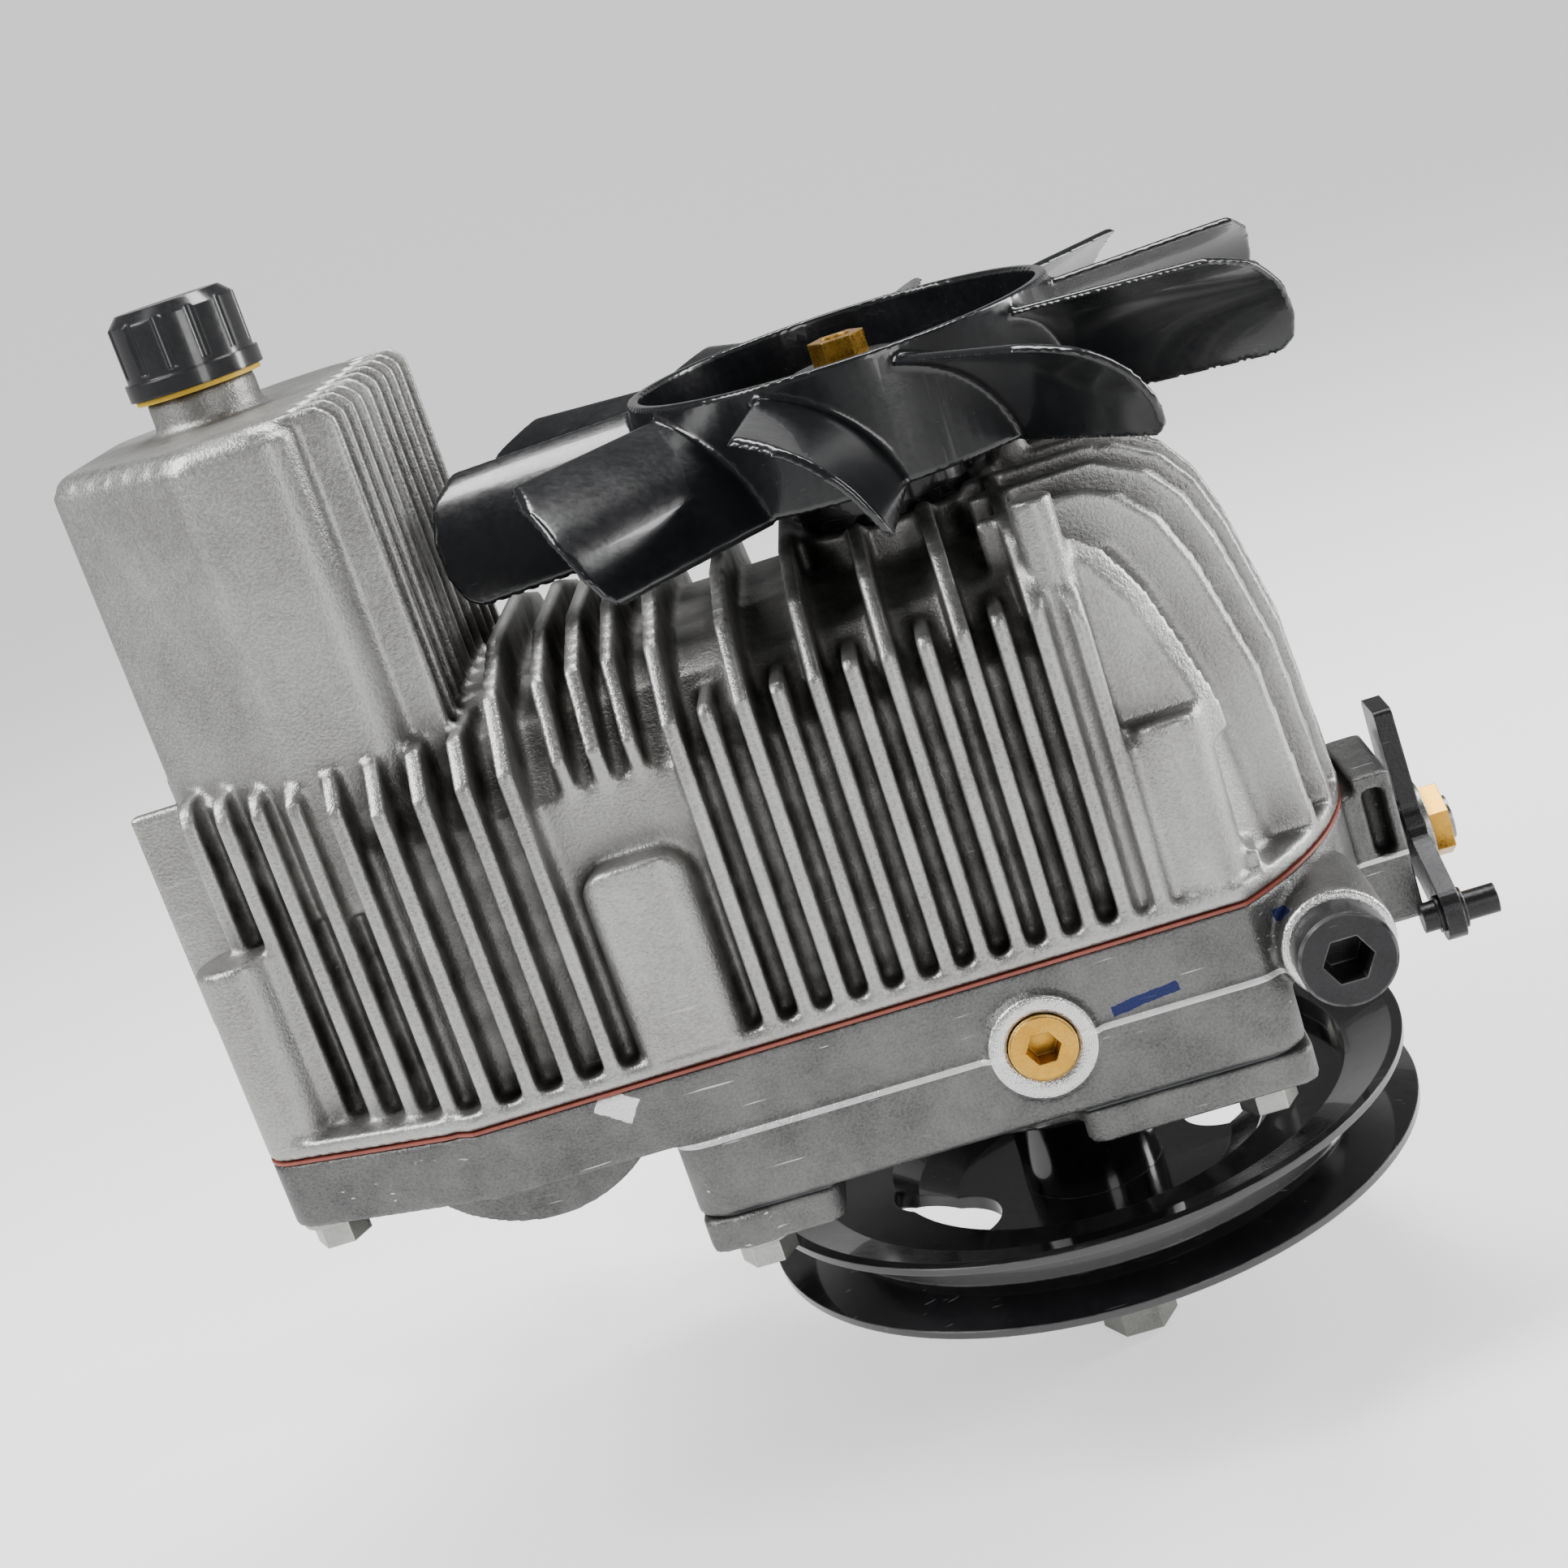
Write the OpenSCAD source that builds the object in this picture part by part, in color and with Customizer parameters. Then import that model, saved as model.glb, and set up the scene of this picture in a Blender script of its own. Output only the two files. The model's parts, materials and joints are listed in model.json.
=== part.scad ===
// Integrated hydrostatic transaxle: a vertical belt-driven piston pump, a piston motor, a two-stage
// gear reduction and one output axle in a split, finned aluminium housing with its own oil tank.
// Origin: the input shaft's axis at the middle of the belt groove. +Z is up, +X towards the control
// arm, +Y towards the wheel. Housing modules are drawn from the split face and lifted by split_z.

/* [Housing] */
// Height of the housing split face above the belt plane
split_z = 78; // [74:1:96]
// Housing depth, front face to back face
depth = 150.6; // [140:1:190]
// Distance from the input shaft to the left end face
left_len = 205; // [200:1:260]
// Radius of the round right end, about the input shaft
end_r = 93.5; // [88:0.5:115]
// Length of the corner cut at the left end, along X
corner_x = 60; // [40:1:75]
// Length of the corner cut at the left end, along Y
corner_y = 34; // [20:1:45]
// Height of the rim above the split, below the cooling fins
rim_t = 5; // [4:0.5:8]
// Depth of the cooling fins
fin_depth = 9; // [6:0.5:12]
// Thickness of a cooling fin
fin_t = 4; // [3:0.5:5]
// Spacing of the fins in front of the pump
fin_pitch = 9.15; // [8:0.05:11]
// Spacing of the fins at the left end
end_fin_pitch = 10.8; // [9:0.1:13]
// Height of the shoulder of the fins above the split
shoulder_z = 95; // [90:1:105]
// Height of the top of the ribs above the split
top_z = 110; // [108:1:125]
// Wall thickness of the castings
wall = 6; // [5:0.5:8]
// Depth of the lower housing below the split, under the pump
sump_depth = 40.5; // [40:0.5:55]
// Depth of the lower housing below the split, at the left end
shelf_depth = 19; // [17:0.5:24]
// Thickness of the sealant between the two castings
sealant_t = 0.8; // [0.4:0.1:1.2]

/* [Oil tank] */
// Height of the tank's top above the split
tank_z = 182; // [160:1:210]
// Front face of the tank, from the shaft plane
tank_front = 62; // [56:1:64]
// Right face of the tank, from the input shaft
tank_right = 128; // [124:1:132]
// Distance of the filler neck from the input shaft
neck_x = 162; // [158:1:168]
// Outer diameter of the filler cap
cap_d = 36; // [32:1:44]
// Height of the filler cap
cap_h = 22; // [18:1:28]

/* [Drive] */
// Diameter of the input shaft in the pump
shaft_d = 17; // [15:0.5:18]
// Outer diameter of the belt pulley
pulley_d = 187; // [150:1:200]
// Height of the belt pulley, rim to rim
pulley_h = 20.7; // [17:0.1:26]
// Depth of the belt groove
groove_depth = 15; // [11:0.5:18]
// Length of the pulley's hub below the belt plane
hub_drop = 50; // [45:1:60]
// Outer diameter of the cooling fan
fan_d = 230; // [200:1:236]
// Outer diameter of the fan's drum
drum_d = 113; // [95:1:125]
// Height of the fan's drum
drum_h = 33; // [26:1:36]
// Number of fan blades
blades = 10; // [7:1:12]
// Pitch of the fan blades, from vertical
blade_pitch = 44; // [38:1:50]

/* [Pump] */
// Diameter of the pump's cylinder block
block_d = 52; // [50:1:56]
// Height of the pump's cylinder block
block_h = 40; // [36:1:42]
// Diameter of the circle of pistons
piston_pcd = 36; // [34:0.5:37]
// Piston diameter
piston_d = 12; // [10:0.5:12.5]
// Number of pump pistons, one node each
PISTONS = 5; // [5:1:5]
// Depth of the control axis below the split
control_drop = 22; // [20:0.5:24]
// Distance of the control arm's inner face from the input shaft
arm_x = 107; // [105:1:112]
// Thickness of the control arm
arm_t = 5; // [4:0.5:8]
// Teeth of the charge pump's inner rotor
charge_teeth = 6; // [6:1:6]

/* [Motor and axle] */
// Distance of the motor shaft from the input shaft
motor_x = 68; // [66:0.5:70]
// Distance of the axle from the motor shaft
axle_gap = 70; // [66:0.5:74]
// Module of the first gear stage
mod_1 = 1.75; // [1.5:0.05:1.85]
// Teeth of the motor pinion
teeth_1 = 14; // [13:1:16]
// Teeth of the intermediate gear
teeth_2 = 42; // [38:1:46]
// Module of the second gear stage
mod_2 = 2.25; // [2:0.05:2.35]
// Teeth of the intermediate pinion
teeth_3 = 12; // [11:1:14]
// Teeth of the bull gear
teeth_4 = 40; // [36:1:42]
// Diameter of the axle shaft
axle_d = 25.4; // [22:0.1:28]
// Reach of the hub's wheel face from the shaft plane
wheel_face = 132; // [126:1:160]
// Bolt circle of the wheel studs
stud_pcd = 114.3; // [100:0.1:120]
// Number of wheel studs
stud_count = 5; // [4:1:6]
// Diameter of a wheel stud
stud_d = 12.7; // [11:0.1:14]

/* [Frame mounting] */
// Bolt circle of the tapped holes in the axle flange
flange_pcd = 88; // [86:1:96]
// Number of tapped holes in the axle flange
flange_count = 4; // [4:2:6]
// Diameter of a tapped hole in the axle flange
flange_hole_d = 8.8; // [6.8:0.1:9]
// Thickness of the axle flange
flange_t = 12; // [10:1:14]

/* [Hidden] */
$fn = 72;

// Fits and gaps
run_gap = 0.05;          // radial clearance of a running fit
part_gap = 0.4;          // gap between pieces that move past each other
bolt_gap = 0.5;          // radial clearance of a bolt in its hole
half_seal = sealant_t / 2;
front_y = depth / 2;
core_y = front_y - fin_depth;
inner_y = core_y - wall;
shaft_r = shaft_d / 2;

// Gear train: the intermediate shaft sits where both centre distances are met
axle_x = motor_x + axle_gap;
reach_1 = mod_1 * (teeth_1 + teeth_2) / 2;
reach_2 = mod_2 * (teeth_3 + teeth_4) / 2;
mid_from_axle = (reach_2 * reach_2 - reach_1 * reach_1 + axle_gap * axle_gap) / (2 * axle_gap);
mid_x = axle_x - mid_from_axle;
mid_z = sqrt(reach_2 * reach_2 - mid_from_axle * mid_from_axle);
stage_1_y = 23;
stage_1_w = 10;
stage_2_y = 36;
stage_2_w = 20;
bull_r = mod_2 * (teeth_4 / 2 + 1);
gear_r = mod_1 * (teeth_2 / 2 + 1);

// Levels along the input shaft, from the split
race_z = -control_drop;
block_z = -6;
plate_z = block_z + block_h;
plate_t = 20;
charge_z = plate_z + plate_t;
charge_t = 8;
ceiling_z = 82;
bearing_w = 12;
bearing_od = 40;
seal_w = 7;
seal_od = 35;
neck_z = 107.5;
drum_z = 153.5 - drum_h;
nut_z = 146.5;
spacer_r = 24.5;
cover_gap = 0.6;
cover_z = -sump_depth - cover_gap;
cover_t = 9;
snout_z = cover_z - 25;
hub_z = -split_z - hub_drop;

module at_split() {
    translate([0, 0, split_z]) children();
}

// Turns a solid drawn along +Z to lie along +Y at the given place
module along_y(x, y, z) {
    translate([x, y, z]) rotate([-90, 0, 0]) children();
}

// Extrudes an outline drawn in X and Z from y to y + w
module plate_xz(y, w) {
    translate([0, y + w, 0]) rotate([90, 0, 0]) linear_extrude(w) children();
}

// Extrudes an outline drawn in Y and Z from x to x + w
module plate_yz(x, w) {
    translate([x, 0, 0]) rotate([90, 0, 90]) linear_extrude(w) children();
}

module ring(od, id, h) {
    difference() {
        cylinder(d = od, h = h);
        translate([0, 0, -1]) cylinder(d = id, h = h + 2);
    }
}

module box(low, high) {
    translate(low) cube(high - low);
}

module hexagon(across, h) {
    cylinder(d = across / cos(30), h = h, $fn = 6);
}

module flange_bolt(shank_d, shank_l, across) {
    head_h = 0.62 * across;
    translate([0, 0, -head_h]) hexagon(across, head_h - 1.5);
    translate([0, 0, -1.6]) cylinder(d = 1.38 * across, h = 1.6);
    translate([0, 0, -0.1]) cylinder(d = shank_d, h = shank_l + 0.1);
}

// Shielded ball bearing drawn as one ring with a recessed shield on each face
module bearing(od, id, w) {
    race = (od - id) / 9;
    rotate_extrude() polygon([
        [id / 2, 0], [id / 2 + race, 0], [id / 2 + race, 0.8], [od / 2 - race, 0.8],
        [od / 2 - race, 0], [od / 2, 0], [od / 2, w], [od / 2 - race, w],
        [od / 2 - race, w - 0.8], [id / 2 + race, w - 0.8], [id / 2 + race, w], [id / 2, w]]);
}

// Involute tooth outline; angles are in degrees
PRESSURE = 20;
function involute(a) = tan(a) * 180 / PI - a;
function polar(r, a) = [r * cos(a), r * sin(a)];
function tooth(teeth, m, slack, steps = 4) =
    let (r = teeth * m / 2, base = r * cos(PRESSURE), root = r - 1.25 * m,
         start = max(base + 0.01, root + 0.05), tip = r + m,
         half = 90 / teeth - slack + involute(PRESSURE),
         side = [for (i = [0:steps]) let (q = start + (tip - start) * i / steps)
                 [q, half - involute(acos(base / q))]])
    concat([polar(root, -side[0][1])],
           [for (i = [0:steps]) polar(side[i][0], -side[i][1])],
           [for (i = [steps:-1:0]) polar(side[i][0], side[i][1])],
           [polar(root, side[0][1])]);
function turned(p, a) = [p[0] * cos(a) - p[1] * sin(a), p[0] * sin(a) + p[1] * cos(a)];
function gear_points(teeth, m, slack = 0.25) =
    let (one = tooth(teeth, m, slack * 16 / teeth))
    [for (t = [0:teeth - 1]) for (p = one) turned(p, 360 * t / teeth)];

// Spur gear on a shaft along Y, with one tooth centred at angle a in the XZ plane
module gear_y(x, y, z, teeth, m, w, bore, a) {
    translate([x, y + w, z]) rotate([90, 0, 0]) rotate([0, 0, a]) difference() {
        linear_extrude(w) polygon(gear_points(teeth, m));
        translate([0, 0, -1]) cylinder(d = bore, h = w + 2);
    }
}
angle_1 = atan2(mid_z, motor_x - mid_x);
angle_2 = atan2(-mid_z, mid_x - axle_x);

// ---- Housing outlines -------------------------------------------------------------------

module footprint() {
    intersection() {
        union() {
            circle(r = end_r);
            polygon([[-left_len, -front_y + corner_y], [-left_len + corner_x, -front_y],
                     [0, -front_y], [0, front_y], [-left_len + corner_x, front_y],
                     [-left_len, front_y - corner_y]]);
        }
        translate([-left_len - 1, -front_y]) square([left_len + end_r + 2, depth]);
    }
}

// Outline at the joint face, which also carries the bolts at the left end
module rim_outline() {
    footprint();
    for (p = end_bolt_places) offset(r = end_post_r, $fn = 48)
        polygon([p, [p[0], 0], [p[0] + 44, 0], [p[0] + 44, p[1] + sign(p[1]) * 14]]);
}

// Side outline of the casting: fins stand straight, then lean in over the shoulder
module side_outline(y, low) {
    polygon([[-y, -1], [-y, shoulder_z - 9 - low], [-y + 17, shoulder_z + 8 - low],
             [-26, top_z - low], [26, top_z - low], [y - 17, shoulder_z + 8 - low],
             [y, shoulder_z - 9 - low], [y, -1]]);
}

// Dome that rounds the right end of the casting
module dome(inset) {
    rotate_extrude($fn = 96) offset(delta = -inset) polygon([
        [0, -20], [end_r + inset, -20], [end_r, 6], [end_r - 3.5, 50], [end_r - 10, 80],
        [end_r - 14.5, 93], [end_r - 21, top_z - 8], [end_r - 31, top_z - 2],
        [end_r - 43, top_z + 1], [0, top_z + 1]]);
}

// Everything left of the dome
module left_side(inset) {
    box([-left_len + inset, -front_y, 0], [20, front_y, top_z + 2 - inset]);
}

module fin_envelope() {
    intersection() {
        linear_extrude(top_z + 2) footprint();
        plate_yz(-left_len, left_len + end_r) side_outline(front_y, 0);
        union() {
            dome(0);
            left_side(0);
        }
    }
}

module core() {
    roof = 12;
    intersection() {
        linear_extrude(top_z) offset(delta = -fin_depth) footprint();
        plate_yz(-left_len, left_len + end_r) side_outline(core_y, roof);
        union() {
            dome(fin_depth);
            left_side(fin_depth);
        }
    }
}

front_boss_x = 85;
front_boss_w = 29;
front_boss_z = 56;
clear_x = front_boss_x + 18;
right_fins = 11;
right_fin_x = -64.3;
end_fins = 9;
column_x = 33;

module fins() {
    tall = top_z + 2;
    short = 88;
    middle = 97;
    intersection() {
        fin_envelope();
        union() {
            // fins in front of and behind the pump, tall and short in turn
            for (i = [0:right_fins]) {
                x = right_fin_x + i * fin_pitch - fin_t / 2;
                h = i % 2 == 0 ? tall : short;
                box([x, -front_y, 0], [x + fin_t, front_y, h]);
            }
            // fins over the motor: on the shoulder only, above the smooth recess
            for (i = [1:3]) {
                x = -clear_x + i * fin_pitch - fin_t / 2;
                plate_yz(x, fin_t) polygon([
                    [-core_y + 1, 68], [-core_y - 2.5, 84], [-front_y + 17, shoulder_z + 8], [-26, top_z],
                    [26, top_z], [front_y - 17, shoulder_z + 8], [core_y + 2.5, 84], [core_y - 1, 68]]);
            }
            // fins round the left end
            for (i = [0:end_fins - 1]) {
                x = -clear_x - 3 - i * end_fin_pitch - fin_t / 2;
                cut = max(0, corner_x - left_len - x) * corner_y / corner_x;
                plate_yz(x, fin_t) offset(r = 8, $fn = 32) offset(delta = -8)
                    translate([-front_y + cut, -9]) square([depth - 2 * cut, 9 + (i == 0 ? tall : middle)]);
            }
            // plates across the round right end
            for (y = [-48, -33, -18, -3, 12, 27, 42, 57]) {
                box([end_r - 74, y - fin_t / 2, 0], [end_r, y + fin_t / 2, tall]);
            }
        }
    }
}

module tank_outline(inset) {
    offset(r = 10, $fn = 32) offset(delta = -10 - inset) polygon([
        [-left_len + 5, -tank_front + 34], [-left_len + 47, -tank_front],
        [-tank_right, -tank_front], [-tank_right, tank_front + 4],
        [-left_len + 47, tank_front + 4], [-left_len + 5, tank_front - 30]]);
}

neck_y = 5;
plate_reach = 10;
neck_top = tank_z + 22;

module tank() {
    difference() {
        union() {
            translate([0, 0, 60]) linear_extrude(tank_z - 60 - 4) tank_outline(0);
            translate([0, 0, 60]) linear_extrude(tank_z - 60 - 1.2) tank_outline(1.6);
            translate([0, 0, 60]) linear_extrude(tank_z - 60) tank_outline(4);
            translate([-neck_x, neck_y, tank_z - 2]) cylinder(d = cap_d - 7, h = 11);
            translate([-neck_x, neck_y, tank_z - 2]) cylinder(d = cap_d - 11, h = neck_top - tank_z + 2);
        }
        translate([-neck_x, neck_y, tank_z - wall - 1]) cylinder(d = cap_d - 17, h = 40);
    }
    // cooling plates on the tank's right side
    fins = 10;
    for (i = [0:fins - 1]) {
        y = -tank_front + 7 + i * (2 * tank_front - 8) / (fins - 1);
        plate_xz(y, 2.6) offset(r = 7, $fn = 32) offset(delta = -7) polygon([
            [-tank_right - 12, shoulder_z - 20], [-tank_right + plate_reach, shoulder_z - 20],
            [-tank_right + plate_reach, tank_z], [-tank_right - 12, tank_z]]);
    }
}

front_post_x = 48.5;

module front_details() {
    // rounded bolt boss below the smooth recess
    intersection() {
        translate([0, 0, rim_t]) linear_extrude(front_boss_z - rim_t)
            translate([-front_boss_x, -front_y + 14.5]) offset(r = 9, $fn = 32)
            square([front_boss_w - 18, 14], center = true);
        plate_xz(-front_y - 12, 50) translate([-front_boss_x, front_boss_z / 2 - 10])
            offset(r = 9, $fn = 32) square([front_boss_w - 18, front_boss_z - 18 + 20], center = true);
    }
    // bolt post and pad near the right end, with the column and dished web above them
    for (y = [-1, 1]) translate([front_post_x, y * (front_y - 12), 0]) cylinder(r = 11, h = 50);
    translate([-front_boss_x - 7, front_y - 11, 0]) cylinder(r = 10.5, h = 50);
    box([front_post_x - 10, -72.5, 0], [front_post_x, -55, 46]);
    box([front_post_x + 8, -68, 0], [front_post_x + 14, -52, 10]);
    translate([column_x, -66, 0]) cylinder(r = 5.5, h = top_z + 1);
    intersection() {
        box([column_x, -67, 40], [end_r, -62, top_z]);
        dome(1);
    }
    translate([34, 0, 60]) cylinder(r = 5.5, h = top_z + 4 - 60);
    // posts for the end bolts
    for (y = [-1, 1]) translate([-left_len + 11, y * (front_y - 27), 0]) cylinder(r = end_post_r, h = 55);
    // rib on the end face
    box([-left_len - 10, -22, 30], [-left_len + 12, -18, shoulder_z - 3]);
    box([-left_len - 10, 18, 30], [-left_len + 12, 22, shoulder_z - 3]);
}

// ---- Axle housing, shared by both castings ----------------------------------------------

bulge_r = 40;
drum_r = bull_r + 7;
horn_r = 42;
horn_end = front_y + 16;
axle_bearing_od = 62;
axle_bearing_w = 16;
front_bearing_od = 52;
front_bearing_w = 15;
front_bearing_y = -44;
rear_bearing_y = horn_end - 9 - axle_bearing_w;

module axle_outside() {
    along_y(-axle_x, front_bearing_y - 4, 0) cylinder(r = bulge_r, h = 60);
    along_y(-axle_x, stage_2_y - 6, 0) cylinder(r = drum_r, h = stage_2_w + 12);
    along_y(-axle_x, 20, 0) cylinder(r = horn_r, h = horn_end - 20);
    along_y(-axle_x, horn_end - flange_t, 0) cylinder(r = flange_pcd / 2 + 8, h = flange_t);
    along_y(-motor_x, 20, 0) cylinder(r = 25, h = front_y - 16);
}

module axle_inside() {
    along_y(-axle_x, front_bearing_y, 0) cylinder(d = front_bearing_od, h = front_bearing_w);
    along_y(-axle_x, front_bearing_y + 10, 0) cylinder(d = front_bearing_od - 8, h = 90);
    along_y(-axle_x, stage_1_y - 3, 0) cylinder(r = bull_r + 2, h = stage_2_y + stage_2_w + 5 - stage_1_y);
    along_y(-axle_x, 40, 0) cylinder(d = axle_bearing_od - 8, h = 60);
    along_y(-axle_x, rear_bearing_y, 0) cylinder(d = axle_bearing_od, h = 60);
    along_y(-motor_x, 55, 0) cylinder(d = motor_bearing_od, h = 40);
    for (i = [0:flange_count - 1]) {
        a = (i + 0.5) * 360 / flange_count;
        along_y(-axle_x + flange_pcd / 2 * cos(a), horn_end - flange_t - 1, flange_pcd / 2 * sin(a))
            cylinder(d = flange_hole_d, h = flange_t + 2);
    }
}

motor_bearing_od = 35;
motor_bearing_w = 11;
motor_bearing_y = front_y - 16;

// ---- Upper housing ----------------------------------------------------------------------

// Hollow of the gear case, between two levels
module case_hollow(low, high) {
    intersection() {
        translate([0, 0, low]) linear_extrude(high - low) offset(delta = -fin_depth - wall) footprint();
        box([-left_len, -depth, low], [-20, depth, high]);
    }
}

module upper_cavity() {
    case_hollow(-1, ceiling_z - 8);
    along_y(-mid_x, stage_1_y - 2, mid_z) cylinder(r = gear_r + 1.5, h = stage_1_w + 4);
    translate([0, 0, -1]) cylinder(r = 56, h = ceiling_z - 7);
    translate([0, 0, -1]) cylinder(r = 34, h = ceiling_z + 1);
    translate([0, 0, 50]) cylinder(d = bearing_od, h = ceiling_z + bearing_w + 1 - 50);
    translate([0, 0, 50]) cylinder(d = seal_od, h = 80);
    // inside of the tank, open to the gear case below it
    translate([0, 0, ceiling_z - 20]) linear_extrude(tank_z - ceiling_z + 20 - wall) tank_outline(wall);
}

module upper_housing() {
    color([0.78, 0.78, 0.77]) at_split() difference() {
        union() {
            difference() {
                union() {
                    linear_extrude(rim_t) rim_outline();
                    core();
                    fins();
                    tank();
                    front_details();
                    cylinder(r = 27, h = neck_z);
                    translate([0, 0, 60]) cylinder(r1 = 60, r2 = 27, h = 40);
                    axle_outside();
                    along_y(-mid_x, 50, mid_z) cylinder(r = 16, h = front_y - 50);
                    along_y(-brake_x, 50, brake_z) cylinder(r = 9, h = brake_y - 50);
                }
                upper_cavity();
            }
            // inner posts that hold the pump's center section
            for (p = center_bolt_places) translate([p[0], p[1], plate_z + plate_t])
                cylinder(r = 7.5, h = ceiling_z - plate_z - plate_t + 2);
            // inner wall that carries the intermediate shaft
            box([-axle_x - 30, 8, 0], [-mid_x + 13, 16, ceiling_z - 6]);
            along_y(-mid_x, 8, mid_z) cylinder(r = 13, h = 12);
        }
        // turned seat under the fan's spacer
        translate([0, 0, neck_z]) cylinder(r = spacer_r + 1.5, h = 20);
        axle_inside();
        along_y(-mid_x, 5, mid_z) cylinder(d = bush_od, h = 20);
        along_y(-mid_x, inner_y - 1, mid_z) cylinder(d = bush_od, h = 9);
        along_y(-brake_x, brake_y - 12, brake_z) cylinder(d = brake_pin_d, h = 20);
        translate([0, 0, -300 + half_seal]) box([-400, -200, 0], [200, 200, 300]);
        for (p = center_bolt_places) translate([p[0], p[1], plate_z + plate_t - 1])
            cylinder(d = bolt_d, h = 17);
        for (p = concat(end_bolt_places, cover_bolt_places))
            translate([p[0], p[1], -1]) cylinder(d = bolt_d, h = 24);
    }
}

center_bolt_places = [[-31, -31], [31, -31], [31, 31], [-31, 31]];
end_post_r = 10.5;
end_bolt_places = [[-left_len + 11, -front_y + 27], [-left_len + 11, front_y - 27]];
cover_bolt_places = [
    [-front_boss_x, -front_y + 9], [-front_boss_x - 7, front_y - 9],
    [front_post_x, -front_y + 12], [front_post_x, front_y - 12]];
bush_od = 22;
mid_shaft_d = 16;

bolt_d = 8;

// ---- Lower housing ----------------------------------------------------------------------

sump_left = 97;
sump_right = 60;
ledge_z = -20;
plug_x = 74.4;
plug_z = -16.4;
plug_face = front_y + 2.5;
test_x = -2;
test_z = -20;
test_face = front_y + 2.6;
block_end = arm_x - 2.5;
journal_r = 8;
trunnion_seal_od = 26;

module sump_outline(grow) {
    offset(r = 9, $fn = 32) offset(delta = -9 + grow)
        translate([-sump_left, -front_y]) square([sump_left + sump_right, depth]);
}

module lower_outside() {
    translate([0, 0, -shelf_depth]) linear_extrude(shelf_depth) rim_outline();
    translate([0, 0, -sump_depth]) linear_extrude(sump_depth) sump_outline(0);
    translate([0, 0, -sump_depth]) linear_extrude(sump_depth + ledge_z) sump_outline(1.5);
    axle_outside();
    along_y(plug_x, -plug_face, plug_z) cylinder(r = 14.4, h = 34);
    along_y(test_x, -test_face, test_z) cylinder(r = 13.8, h = 20);
    translate([sump_right - 10, 0, race_z]) rotate([0, 90, 0]) cylinder(r = 14, h = end_r - sump_right);
    box([end_r - 14, -22, -sump_depth + 2], [block_end, 16, -3]);
    difference() {
        box([end_r - 4, -22, -6], [block_end, 14, 4]);
        translate([0, 0, -half_seal]) cylinder(r = end_r + 0.8, h = 20);
    }
}

module lower_cavity() {
    translate([0, 0, -sump_depth - 1]) cylinder(r = 44, h = sump_depth + 2);
    box([-sump_left + 4, -inner_y, -sump_depth + wall], [-10, inner_y, 1]);
    case_hollow(-shelf_depth + wall, 1);
    // pocket in the front of the control block
    box([end_r + 3, -25, -19], [block_end - 3, -14, 0]);
}

module lower_housing() {
    color([0.56, 0.56, 0.55]) at_split() difference() {
        union() {
            difference() {
                lower_outside();
                lower_cavity();
            }
            // boss for the inner end of the control shaft
            box([-50, -12, -sump_depth + 2], [-35, 12, race_z]);
            translate([-44, 0, race_z]) rotate([0, 90, 0]) cylinder(r = 12, h = 9);
        }
        axle_inside();
        translate([0, 0, -half_seal]) box([-400, -200, 0], [end_r + 0.8, 200, 300]);
        // control shaft: running bore, then the seat of its seal
        translate([-52, 0, race_z]) rotate([0, 90, 0]) cylinder(r = journal_r + 2, h = 20);
        translate([30, 0, race_z]) rotate([0, 90, 0]) cylinder(r = journal_r + run_gap, h = 100);
        translate([block_end - 8, 0, race_z]) rotate([0, 90, 0]) cylinder(d = trunnion_seal_od, h = 20);
        // ports
        along_y(plug_x, -plug_face - 1, plug_z) cylinder(d = 16, h = 18);
        along_y(plug_x, -plug_face - 1, plug_z) cylinder(d = 20.6, h = 3);
        along_y(test_x, -test_face - 1, test_z) cylinder(d = 18.2, h = 3.4);
        along_y(test_x, -test_face - 1, test_z) cylinder(d = 14, h = 15);
        for (p = concat(end_bolt_places, cover_bolt_places))
            translate([p[0], p[1], -sump_depth - 5]) cylinder(d = bolt_d + 2 * bolt_gap, h = 80);
        for (p = end_bolt_places) translate([p[0], p[1], -shelf_depth - 20]) cylinder(r = 9.6, h = 20);
    }
}

module housing_sealant() {
    color([0.66, 0.30, 0.26]) at_split() difference() {
        translate([0, 0, -half_seal]) linear_extrude(sealant_t) difference() {
            rim_outline();
            offset(delta = -fin_depth - wall) footprint();
        }
        for (p = concat(end_bolt_places, cover_bolt_places))
            translate([p[0], p[1], -2]) cylinder(d = bolt_d + 2 * bolt_gap, h = 4);
        axle_inside();
    }
}

module housing_bolts() {
    color([0.80, 0.81, 0.80]) at_split() for (p = end_bolt_places)
        translate([p[0], p[1], -shelf_depth]) flange_bolt(bolt_d, shelf_depth + 20, 13);
}

// ---- Bottom cover -----------------------------------------------------------------------

module cover_outline() {
    offset(r = -5, $fn = 32) offset(delta = 5) offset(r = 5, $fn = 32) offset(delta = -5) union() {
        circle(r = 59);
        translate([-sump_left + 12, -50]) square([sump_left + sump_right - 26, 100]);
        for (p = cover_bolt_places) translate(p) circle(r = 11.5);
        for (y = [-1, 1]) {
            translate([-sump_left - 1, y > 0 ? 30 : -front_y - 1]) square([36, front_y - 29]);
            translate([sump_right - 58, y > 0 ? 30 : -front_y - 1]) square([60, front_y - 29]);
        }
    }
}

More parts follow.
